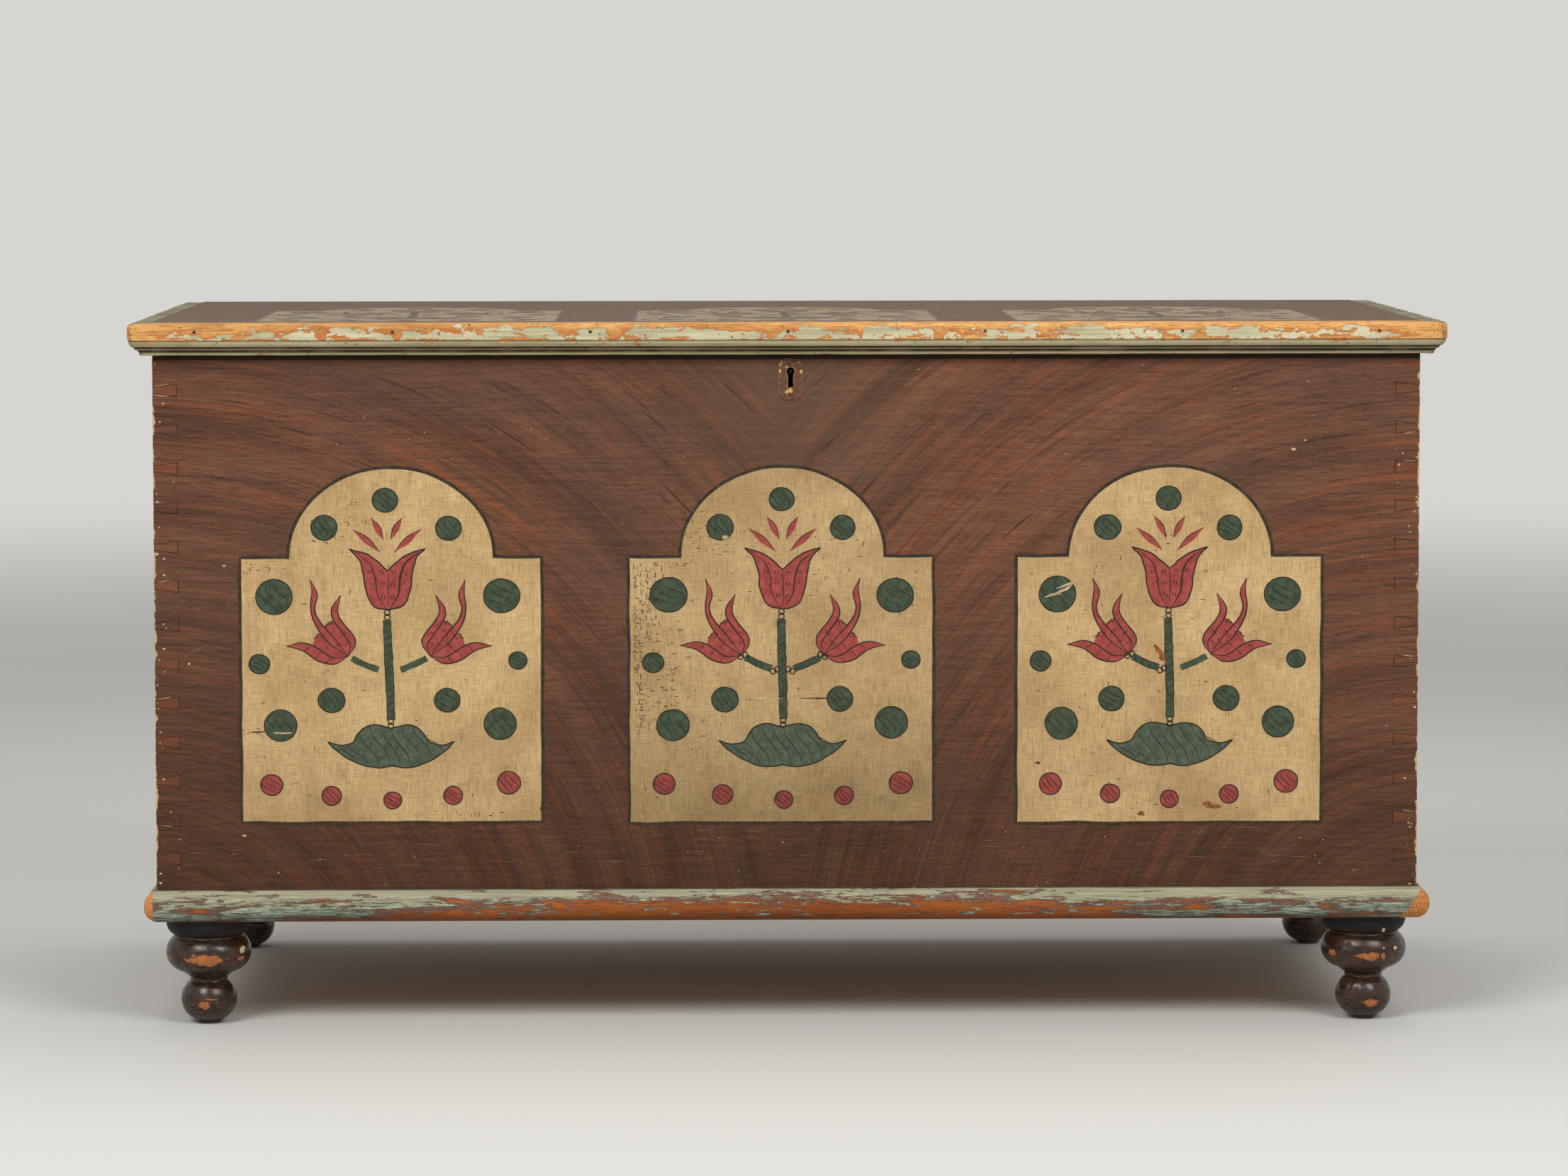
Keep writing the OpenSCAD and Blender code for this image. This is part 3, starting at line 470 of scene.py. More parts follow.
def lid_moulding_material(run):
    """Lid moulding: its nose is rubbed to the wood on top, and green is left lower down and on the beads."""
    g = Graph("lid_moulding_paint_" + run)
    along, deep = (g.x, g.y) if run == "front" else (g.y, g.x)
    below = (Z_LID - g.z) * 1000
    before = (LID_FRONT - g.y) * 1000
    beside = (abs(g.x) - LID_HALF) * (1 + g.x.smooth(0.001, -0.001) * (1 / LEFT_SLIM - 1)) * 1000
    flake = g.noise(along * 48, g.z * 110, deep * 60, 6.0, 0.62, 0.4)
    patch = g.noise(along * 15, 3.0, 0.0, 3.0, 0.6)
    torn = g.noise(along * 36, g.z * 60, deep * 60, 4.0, 0.6)
    ends = abs(g.x).smooth(LID_HALF - 0.17, LID_HALF) if run == "front" else g.y.smooth(-0.12, LID_FRONT)
    gap = g.noise(along * 38, 7.0, 0.0, 1.0, 0.5)
    left = below - 6.5 + (flake - 0.5) * 44 - (0.52 - patch) * 26 - gap.smooth(0.6, 0.68) * 9 - ends * 7
    left = left - torn.smooth(0.54, 0.6) * below.smooth(10, 14) * 12
    left = left - below.smooth(13, 16) * gap.smooth(0.62, 0.5) * 9
    if run == "front":
        left = left - abs(g.x).smooth(LID_HALF - 0.012, LID_HALF + 0.004) * 22
    kept = left.smooth(0, 0.5)
    wood = pine(g, along, g.z, deep, srgb(226, 172, 102), NOSE_WOOD, NOSE_WOOD_DARK, 0.55)
    grime = g.noise(along * 26, g.z * 170, deep * 170, 5.0, 0.7)
    wood = g.over(grime.smooth(0.47, 0.68) * 0.75, Coat(srgb(170, 102, 48), 0.6, grime), wood)
    stained = left.smooth(-9, -1) * below.smooth(3, 8) * 0.75
    wood = g.over(stained, Coat(srgb(182, 102, 46), 0.6, grime), wood)
    thin = g.noise(along * 60, g.z * 900, deep * 900, 4.0, 0.72)
    wood = g.over(thin.smooth(0.52, 0.68) * 0.6, Coat(srgb(150, 92, 44), 0.6, thin), wood, -0.1)
    paint = green_coat(g, along, g.z, deep)
    beads = below.smooth(FACE_H - 0.3, FACE_H + 0.3)
    # The beads under the nose are a little darker, and browner
    tone = 1 - beads * 0.1
    if run != "front":
        kept = g.most(kept, below.smooth(1.2, 0.5) * flake.smooth(0.72, 0.66))
        # The top face of an end run is darker: painted shade
        tone = tone * (0.4 + below.smooth(0.5, 2) * 0.6)
    browner_beads = g.mix(beads * 0.4, paint.colour, srgb(150, 126, 80))
    paint = paint._replace(colour=g.shade(browner_beads, tone))
    whole = (flake - torn.smooth(0.58, 0.62) * below.smooth(22, 18) * 0.2).smooth(0.33, 0.36)
    share = kept + beads * (whole - kept)
    under = (before if run == "front" else beside).smooth(11.4, 10.8) * below.smooth(24, 27)
    share = share * (1 - under)
    plain = pine(g, along, g.z, deep)
    coat = g.over(share, paint, g.over(under, plain, wood), 0.4)
    rim = share * (1 - share) * 4
    dark = g.noise(along * 33, g.z * 33, deep * 33, 3.0).smooth(0.35, 0.55)
    fillet = FACE_H + QUIRK / 2 + OVOLO_R
    # Dark lines in the quirk, under the ovolo, in the cove's hollow and along the bottom edge: painted shade
    # in the recesses
    line = abs(below - FACE_H - 0.1).smooth(0.9, 0.3) * 0.75
    line = g.most(line, abs(below - fillet + 0.4).smooth(1.4, 0.7))
    cove_shade = (below - fillet - FILLET_H).smooth(-0.2, 0.1) * (below - fillet - FILLET_H).smooth(4.2, 1.8)
    line = g.most(line, g.most(cove_shade, below.smooth(31.2, 31.9) * (1 - under)))
    seam = abs(beside - before).smooth(0.7, 0.3) * below.smooth(1.5, 3) * 0.8
    pits = g.noise(along * 300, g.z * 300, deep * 300, 2.0).smooth(0.66, 0.7) * 0.7
    # One dark colour for the flakes' rims, the painted shade lines, the mitre seam and the pits
    soil_and_shade = g.most(g.most(rim * (0.4 + dark * 0.4), line * (0.75 + dark * 0.2)), g.most(seam, pits))
    colour = g.mix(soil_and_shade, coat.colour, srgb(40, 31, 22))
    return g.finish(coat._replace(colour=colour), specular=0.2)


def base_moulding_material(run):
    """Base moulding: green, flaking along the grain to a brown undercoat and to orange wood."""
    g = Graph("base_moulding_paint_" + run)
    along, deep = (g.x, g.y) if run == "front" else (g.y, g.x)
    low, high = [corner.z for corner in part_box("base_moulding_front")]
    rise = (g.z - low) * (1 / (high - low))
    flake = g.noise(along * 58, g.z * 520, deep * 260, 8.0, 0.7, 0.8)
    patch = g.noise(along * 17, g.z * 120, deep * 60, 5.0, 0.65, 0.5)
    fine = g.noise(along * 60, g.z * 1000, deep * 600, 5.0, 0.72, 0.5)
    brush = g.noise(along * 12, g.z * 500, deep * 500, 4.0, 0.65)
    blue = (rise + (patch - 0.5) * 0.6).smooth(0.62, 0.4)
    colour = g.mix(brush.smooth(0.28, 0.66), BASE_GREEN_DEEP, BASE_GREEN)
    colour = g.mix(blue, colour, g.mix(brush.smooth(0.3, 0.66), BASE_BLUE_DEEP, BASE_BLUE))
    colour = g.mix(fine.smooth(0.44, 0.34) * blue * 0.5, colour, srgb(190, 198, 180))
    paint = Coat(colour, 0.6 + brush * 0.15, brush * 0.2)
    wood = pine(g, along, g.z, deep, srgb(168, 92, 38), ORANGE_WOOD, srgb(84, 42, 18), 0.6)
    wood = g.over(fine.smooth(0.5, 0.62) * 0.55, Coat(srgb(92, 46, 20), 0.6, wood.height), wood, -0.1)
    under = Coat(g.mix(fine.smooth(0.35, 0.65), UNDERCOAT, srgb(136, 106, 94)), 0.7, wood.height)
    bare_top = 0.02
    if run == "front":
        bare_top = g.x.smooth(-0.53, -0.17) * g.x.smooth(0.38, 0.24) * 0.66 + 0.02
    edge = bare_top - rise
    scar = patch + (flake - 0.5) * 0.3 + rise.smooth(0.1, 0.35) * rise.smooth(0.8, 0.6) * 0.05
    right_part = g.x.smooth(0.26, 0.32) * g.x.smooth(0.62, 0.5)
    scar = scar + right_part * rise.smooth(0.25, 0.4) * rise.smooth(0.8, 0.65) * 0.07
    isle = g.noise(along * 42, g.z * 260, deep * 140, 6.0, 0.65, 0.6)
    isle = isle.smooth(0.56, 0.58) * rise.smooth(0.05, 0.2)
    bare = (edge + (flake - 0.5) * 1.3 + (patch - 0.5) * 0.6).smooth(0, 0.02) * (1 - isle)
    bare = g.most(bare, scar.smooth(0.66, 0.68))
    torn = (edge + 0.12 + (patch - 0.5) * 1.2 + (flake - 0.5) * 0.8).smooth(0, 0.02) * (1 - isle)
    torn = g.most(torn, scar.smooth(0.59, 0.61))
    cracks = fine.smooth(0.53, 0.57) * rise.smooth(0.85, 0.6)
    coat = g.over(torn, under, paint, -0.35)
    coat = g.over(cracks * 0.8, Coat(srgb(66, 50, 42), 0.7, wood.height), coat, -0.2)
    coat = g.over(bare, wood, coat, -0.1)
    rim = g.most(torn * (1 - torn), bare * (1 - bare)) * 3
    joint = rise.smooth(0.965, 0.99)
    colour = g.mix(g.most(rim, joint * 0.8), coat.colour, BROWN_BLACK)
    # Darker towards the foot and a little lighter on top: painted shade on the face that turns down, and
    # painted light on its top
    coat = coat._replace(colour=g.shade(colour, 0.6 + rise.smooth(-0.1, 0.4) * 0.46))
    if run == "front":
        bow = g.noise(g.x * 60, 0.0, g.z * 60, 2.0)
        reach = g.x.smooth(0.0, 0.01) * (1 - rise) * 0.02 + 0.008
        rings = g.math("SINE", (abs(g.x) + g.z * 0.25 + bow * 0.012) * 2300).smooth(0.3, 0.9)
        rings = rings * g.x.smooth(0.0, 0.01)
        ends = g.mix(fine.smooth(0.4, 0.6), CORNER_WOOD, srgb(176, 108, 54))
        end_grain = Coat(g.mix(rings * 0.6, ends, srgb(110, 58, 26)), 0.6, rings * -0.2)
        corner = abs(g.x) + reach + (bow - 0.5) * 0.012
        coat = g.over(corner.smooth(HALF_W + 0.0115, HALF_W + 0.0125), end_grain, coat, -0.2)
    return g.finish(coat, specular=0.2)


# Knocks on the front feet, to the wood and to the ground coat: foot, place beside it, height, half sizes
WORN = (
    (-1, 0, 68.3, 19, 5.8), (-1, -2, 21.5, 5.6, 4.4), (-1, 4, 27, 6, 1.2), (-1, 33.5, 68, 3.2, 2.6),
    (-1, -38, 67, 2, 3), (1, 2.3, 68, 8.4, 4.4), (1, 15, 68, 2.2, 3.4), (1, -6, 68.5, 9, 2),
    (1, -34, 70, 3, 3.6), (1, 5.5, 18.8, 8.4, 4)
)
CHIPPED = ((-1, 35.5, 76.5, 2.4, 3.6), (1, 28, 75, 2, 1.8), (1, 15.5, 76, 1, 1), (1, 15.5, 93.5, 2, 2.6))


def foot_material():
    """Turned feet: glossy dark paint, knocked through to orange wood on the fronts of the swellings."""
    g = Graph("foot_paint")
    brush = g.noise(g.x * 60, g.y * 60, g.z * 160, 4.0, 0.65)
    paint = Coat(g.mix(brush.smooth(0.35, 0.75), FOOT_BLACK, FOOT_BROWN), 0.14 + brush * 0.2, brush * 0.1)
    haze = g.cloud(420, 3.0, 0.7)
    low = g.most(g.z.smooth(0.074, 0.062) * g.z.smooth(0.047, 0.05), g.z.smooth(0.028, 0.018)) * 0.4
    paint = g.over(haze.smooth(0.5, 0.72) * (0.15 + low * 1.3), Coat(srgb(120, 92, 68), 0.4, brush), paint)
    # The collar under the case is painted near black: painted shade from the case above it
    collar_shade = g.z.smooth(0.087, 0.097)
    paint = g.over(collar_shade, Coat(srgb(13, 8, 6), 0.7, brush), paint)
    wood = pine(g, g.z, g.x, g.y, srgb(176, 106, 54), srgb(150, 84, 40), srgb(96, 54, 30), 0.5)
    scuff = g.noise(g.x * 110, g.y * 110, g.z * 180, 5.0, 0.62)
    foot_low, foot_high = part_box("foot_front_right")
    middle = (foot_low + foot_high) / 2
    front = (middle.y - g.y).smooth(0.002, 0.01)
    shares = {WORN: 0.0, CHIPPED: 0.0}
    for marks, ragged in ((WORN, 4.0), (CHIPPED, 2.0)):
        for side, aside, level, wide, tall in marks:
            off = g.ellipse(g.x, g.z, (side * middle.x + aside * MM, level * MM), (wide * MM, tall * MM))
            shares[marks] = g.most(shares[marks], (1.15 - off + (scuff - 0.5) * ragged).smooth(0.1, 0.5))
    share = g.most(shares[WORN] * front, scuff.smooth(0.7, 0.73) * low * 2.2)
    coat = g.over(share, wood, paint, -0.3)
    coat = g.over(shares[CHIPPED] * front, Coat(srgb(206, 184, 150), 0.6, scuff), coat, -0.3)
    return g.finish(coat, specular=0.4)


def iron_material():
    g = Graph("old_iron")
    pit = g.cloud(130, 5.0, 0.65)
    rust = g.cloud(34, 4.0, 0.6)
    colour = g.mix(rust.smooth(0.45, 0.68), IRON_DARK, IRON_RUST)
    colour = g.shade(colour, 0.7 + pit * 0.6)
    return g.finish(Coat(colour, 0.5 + rust * 0.3, pit * 0.3), specular=0.5, metallic=0.35)


# Bare spots on the escutcheon, in millimetres from its middle: place and half sizes
BRASS_SPOTS = (
    (-10.6, 7.8, 1.4, 2.4), (10.4, 7.8, 1.4, 2.8), (-8.8, 16.5, 0.9, 1.6), (-10.4, 14, 0.8, 0.9),
    (-4.4, 12.4, 1.3, 1.2), (8.2, 16.6, 1, 1.2), (-1, -11, 3.4, 2.6), (-4, -13, 1.2, 1.6)
)


# Keyhole: its height above the plate's middle, radius, and the slot's half width and length
KEY_RISE, KEY_R, SLOT_HALF, SLOT_LONG = 0.0075, 0.004, 0.0026, 0.016


def brass_material():
    """Escutcheon: brown paint over brass, worn through at its edges and round the keyhole."""
    g = Graph("painted_brass")
    middle = (plate_low + plate_high) / 2
    blot = g.cloud(260, 4.0, 0.65)
    half_x = plate_high.x - middle.x
    worn = abs(g.x - middle.x).smooth(half_x - 0.0006, half_x - 0.0002) * 0.5
    for u, v, wide, tall in BRASS_SPOTS:
        off = g.ellipse(g.x, g.z, (middle.x + u * MM, middle.z + v * MM), (wide * MM, tall * MM))
        worn = g.most(worn, (1 - off + (blot - 0.5) * 4).smooth(0.0, 0.3))
    paint = Coat(g.mix(blot.smooth(0.35, 0.65), srgb(86, 56, 44), srgb(110, 76, 60)), 0.5, blot * 0.2)
    key_z = middle.z + KEY_RISE
    hole = g.math("SQRT", (g.x - middle.x) * (g.x - middle.x) + (g.z - key_z) * (g.z - key_z)) - KEY_R
    slot = g.most(abs(g.x - middle.x) - SLOT_HALF, abs(g.z - key_z + SLOT_LONG / 2) - SLOT_LONG / 2)
    lip = g.math("MINIMUM", hole, slot).smooth(0.0009, 0.0005) * blot.smooth(0.35, 0.5)
    paint = g.over(lip * 0.6, Coat(srgb(176, 144, 104), 0.5, blot), paint)
    metal = Coat(g.mix(blot.smooth(0.4, 0.8), BRASS, srgb(214, 176, 104)), 0.42, blot * 0.1)
    return g.finish(g.over(worn, metal, paint, -0.1), specular=0.15, metallic=worn * 0.5)


# Drawing in millimetres on a flat face

def curve(points, step=1.2):
    """Short steps along a smooth line through the points."""
    points = [Vector(p) for p in points]
    padded = [2 * points[0] - points[1]] + points + [2 * points[-1] - points[-2]]
    line = []
    for a, b, c, d in zip(padded, padded[1:], padded[2:], padded[3:]):
        count = max(1, round((c - b).length / step))
        for i in range(count):
            t = i / count
            bend = (2 * a - 5 * b + 4 * c - d) * t * t + (3 * b - a - 3 * c + d) * t ** 3
            line.append(b + ((c - a) * t + bend) / 2)
    return line + [points[-1]]


def outline(*strokes):
    """One closed line from smooth strokes that meet in sharp corners."""
    return [p for stroke in strokes for p in curve(stroke)[:-1]]


def mirrored(points):
    return [(-u, v) for u, v in points]


def circle(count):
    """Points round a circle of radius 1."""
    turns = [2 * math.pi * i / count for i in range(count)]
    return [(math.cos(t), math.sin(t)) for t in turns]


def wobble(line, amount, size, seed):
    """The line as a hand draws it: pushed about a little, smoothly."""
    moved = []
    for p in line:
        here = Vector((p[0] / size, p[1] / size, seed))
        push = Vector((noise.noise(here), noise.noise(here + Vector((31, 17, 5)))))
        moved.append(Vector(p) + push * amount)
    return moved


def normals(line, closed):
    """Unit vectors to the left of a line, at each of its points."""
    count = len(line)
    found = []
    for i in range(count):
        before = line[i - 1] if closed or i else line[0]
        after = line[(i + 1) % count] if closed or i < count - 1 else line[-1]
        run = after - before
        found.append(Vector((-run.y, run.x)).normalized())
    return found


def area(loop):
    return sum(a.x * b.y - b.x * a.y for a, b in zip(loop, loop[1:] + loop[:1])) / 2


def on_front(x, z):
    """Places on the front, in millimetres from a point at x, z."""
    return lambda u, v, high: (x + u * MM, Y_FRONT - high * MM, z + v * MM)


def on_lid(x, y):
    """Places on top of the lid, in millimetres from a point at x, y."""
    return lambda u, v, high: (x + u * MM, y + v * MM, Z_LID + high * MM)


def on_end(side):
    """Places on an end of the case, in millimetres from its lower front corner."""
    return lambda u, v, high: (side * (HALF_W + high * MM), Y_FRONT + side * u * MM, Z_CASE + v * MM)


SUNK = -0.05


def strip(mesh, one, two, closed=True):
    """Quads between two rows of corners."""
    count = len(one)
    for i in range(count if closed else count - 1):
        j = (i + 1) % count
        mesh.faces.new((one[i], one[j], two[j], two[i]))


class Paint:
    """Thin plates of one paint on a flat face, joined as one piece."""

    def __init__(self, name, place, high, material, body):
        self.name, self.place, self.high = name, place, high
        self.material, self.body = material, body
        self.mesh = bmesh.new()
        self.count = 0

    def level(self):
        """Height of the next plate, a hair off its neighbours', so that plates may cross."""
        self.count += 1
        return self.high + 0.004 * (self.count % 12)

    def corners(self, line, high):
        return [self.mesh.verts.new(self.place(p[0], p[1], high)) for p in line]

    def plate(self, line):
        """A filled shape."""
        loop = [Vector(p) for p in line]
        points, _, triangles, *_ = geometry.delaunay_2d_cdt(loop, [], [range(len(loop))], 1, 0.0001)
        top, low = self.corners(points, self.level()), self.corners(points, SUNK)
        edges = {}
        for a, b, c in triangles:
            self.mesh.faces.new((top[a], top[b], top[c]))
            self.mesh.faces.new((low[c], low[b], low[a]))
            edges.update({(a, b): None, (b, c): None, (c, a): None})
        for a, b in edges:
            if (b, a) not in edges:
                self.mesh.faces.new((low[a], low[b], top[b], top[a]))

    def band(self, right, left, closed):
        """A filled strip between two lines that run the same way."""
        top = self.level()
        rows = [self.corners(line, high) for line, high in
                ((right, SUNK), (right, top), (left, top), (left, SUNK))]
        for one, two in zip(rows, rows[1:] + rows[:1]):
            strip(self.mesh, one, two, closed)
        if not closed:
            self.mesh.faces.new([row[0] for row in rows])
            self.mesh.faces.new([row[-1] for row in rows[::-1]])

    def ribbon(self, line, sides, closed):
        """A filled strip that reaches as far to the right of a line as to its left."""
        self.band([p - n for p, n in zip(line, sides)], [p + n for p, n in zip(line, sides)], closed)

    def ring(self, line, width):
        """A closed line, drawn round a shape along its edge."""
        loop = [Vector(p) for p in line]
        if area(loop) < 0:
            loop.reverse()
        self.ribbon(loop, [n * width / 2 for n in normals(loop, True)], True)

    def stroke(self, points, width, blunt=0.3):
        """A line drawn with a brush: it swells from a fine start to its width and ends fine."""
        line = curve(points)
        count = len(line)
        swell = [math.sin(math.pi * (i + 0.5) / count) ** 0.5 for i in range(count)]
        halves = [width / 2 * max(blunt, share) for share in swell]
        self.ribbon(line, [n * half for n, half in zip(normals(line, False), halves)], False)

    def done(self):
        bmesh.ops.recalc_face_normals(self.mesh, faces=self.mesh.faces)
        piece(self.name, self.mesh, self.material, self.body)


def piece(name, mesh, material, body, replaced=None, sharp=None):
    """A new object from a mesh, riding on a body. With sharp, it is smooth but for edges of more degrees."""
    for f in mesh.faces if sharp else ():
        f.smooth = True
    data = bpy.data.meshes.new(name)
    mesh.to_mesh(data)
    mesh.free()
    data.materials.append(material)
    if sharp:
        data.set_sharp_from_angle(angle=math.radians(sharp))
    made = bpy.data.objects.new(name, data)
    bpy.context.scene.collection.objects.link(made)
    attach(made, body)
    if replaced:
        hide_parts(replaced)


# The painted panels, all three from one pattern, in millimetres from the middle of a panel's foot

SHOULDER = 261
ARCH_HALF = 100.5
ARCH_TOP = 350
FIELD_HIGH, BORDER_HIGH, FILL_HIGH, LINE_HIGH, MARK_HIGH = 0.12, 0.16, 0.22, 0.28, 0.33

# Round spots: place, radius
GREEN_SPOTS = [
    (-1, 318.5, 12), (-62, 291, 12.8), (60, 290, 12.2), (-112, 223.5, 18), (112, 223.5, 17.6),
    (-128, 157, 10.2), (126, 159, 9.1), (-57, 120, 12.6), (57, 120.5, 12.5), (-108, 95, 15.9),
    (107.5, 96, 15.7)
]
RED_SPOTS = [(-118, 35.5, 10.9), (-59, 25.2, 9.6), (0.5, 20, 8.9), (60, 24.6, 9.2), (116.5, 37, 11.4)]

TULIP_EDGE = [(0, 210), (-15, 214.5), (-22, 230), (-23.8, 245), (-28.5, 261), (-37.5, 270.5)]
TULIP_LIP = [(-37.5, 270.5), (-18, 264), (0, 249)]
TULIP_RIB = [(-31, 267), (-17, 255), (-12, 240), (-10.5, 226), (-2, 211)]
LEAF_PETALS = [((-34, 290), (-7, 267)), ((-15.5, 301.5), (-3.5, 279))]

# Side tulip, on the left: three petals that sweep to one foot, and the heart between them
SIDE_FOOT = (-40.5, 164)
TALL_LEFT = [(-76.5, 240), (-75, 228), (-76.5, 212), (-73, 197), (-60, 178), SIDE_FOOT]
TALL_RIGHT = [(-76.5, 240), (-69.8, 226), (-72.6, 211), (-68, 199), (-53, 181), SIDE_FOOT]
SMALL_LEFT = [(-47, 224.5), (-55.5, 212), (-55, 201), (-44, 185), (-38, 175), SIDE_FOOT]
SMALL_RIGHT = [(-47, 224.5), (-50, 209), (-46, 198.5), (-34.5, 184), (-33.6, 174), SIDE_FOOT]
SIDE_UPPER = [(-101.5, 174), (-86, 177.4), (-73, 173.5), (-56, 163), SIDE_FOOT]
SIDE_LOWER = [(-101.5, 174), (-85, 169.5), (-70, 159.5), (-54, 156.6), SIDE_FOOT]
HEART = [
    (-76, 172), (-72.5, 182), (-66, 190), (-60, 197), (-53, 199), (-43, 187), (-35, 175), SIDE_FOOT,
    (-58, 161)
]
FRINGES = [(-72, 182.5, -62), (-70, 185.5, -55), (-61.5, 195, -32), (-58.5, 197.2, -25), (-56, 197, -18)]

SIDE_DASHES = [
    (-66, 184), (-60, 174), (-56, 187), (-50, 176), (-44, 186), (-41, 177), (-70, 166), (-60, 160), (-80, 172)
]

MOUND_TOP = [(-63, 79), (-50, 75.6), (-38, 78.5), (-33.5, 86), (-26, 93.2), (-15, 95.8), (0, 92.6)]
MOUND_FOOT = [(0, 55), (-14, 53), (-32, 57), (-50, 67), (-63, 79)]

STEM = [(-1.5, 200), (-0.8, 165), (0.3, 130), (0.5, 100.5)]
STEM_W = 7.6
TWIG = [(-37, 162), (-24, 155.5), (-11, 150.5)]
TWIG_W = 6.2


def arch():
    """Half an ellipse over the shoulders, from right to left."""
    count = 64
    turns = [math.pi * i / count for i in range(count + 1)]
    return [(ARCH_HALF * math.cos(t), SHOULDER + (ARCH_TOP - SHOULDER) * math.sin(t)) for t in turns]


def steps(points, step):
    """An open line of straight pieces, cut in short steps."""
    line = []
    for a, b in zip(points, points[1:]):
        a, b = Vector(a), Vector(b)
        count = max(1, round((b - a).length / step))
        line += [a.lerp(b, i / count) for i in range(count)]
    return line + [Vector(points[-1])]


def field_outline(edges, seed):
    left, right, foot = edges
    square = [(left, SHOULDER), (left, foot), (right, foot), (right, SHOULDER)]
    return wobble(steps(square + arch() + square[:1], 2.5)[:-1], 1.1, 38, seed)


def at_height(line, u):
    """Height of a line, given from left to right or back, over u."""
    for a, b in zip(line, line[1:]):
        if min(a.x, b.x) <= u <= max(a.x, b.x) and a.x != b.x:
            return a.y + (b.y - a.y) * (u - a.x) / (b.x - a.x)
    return line[-1].y


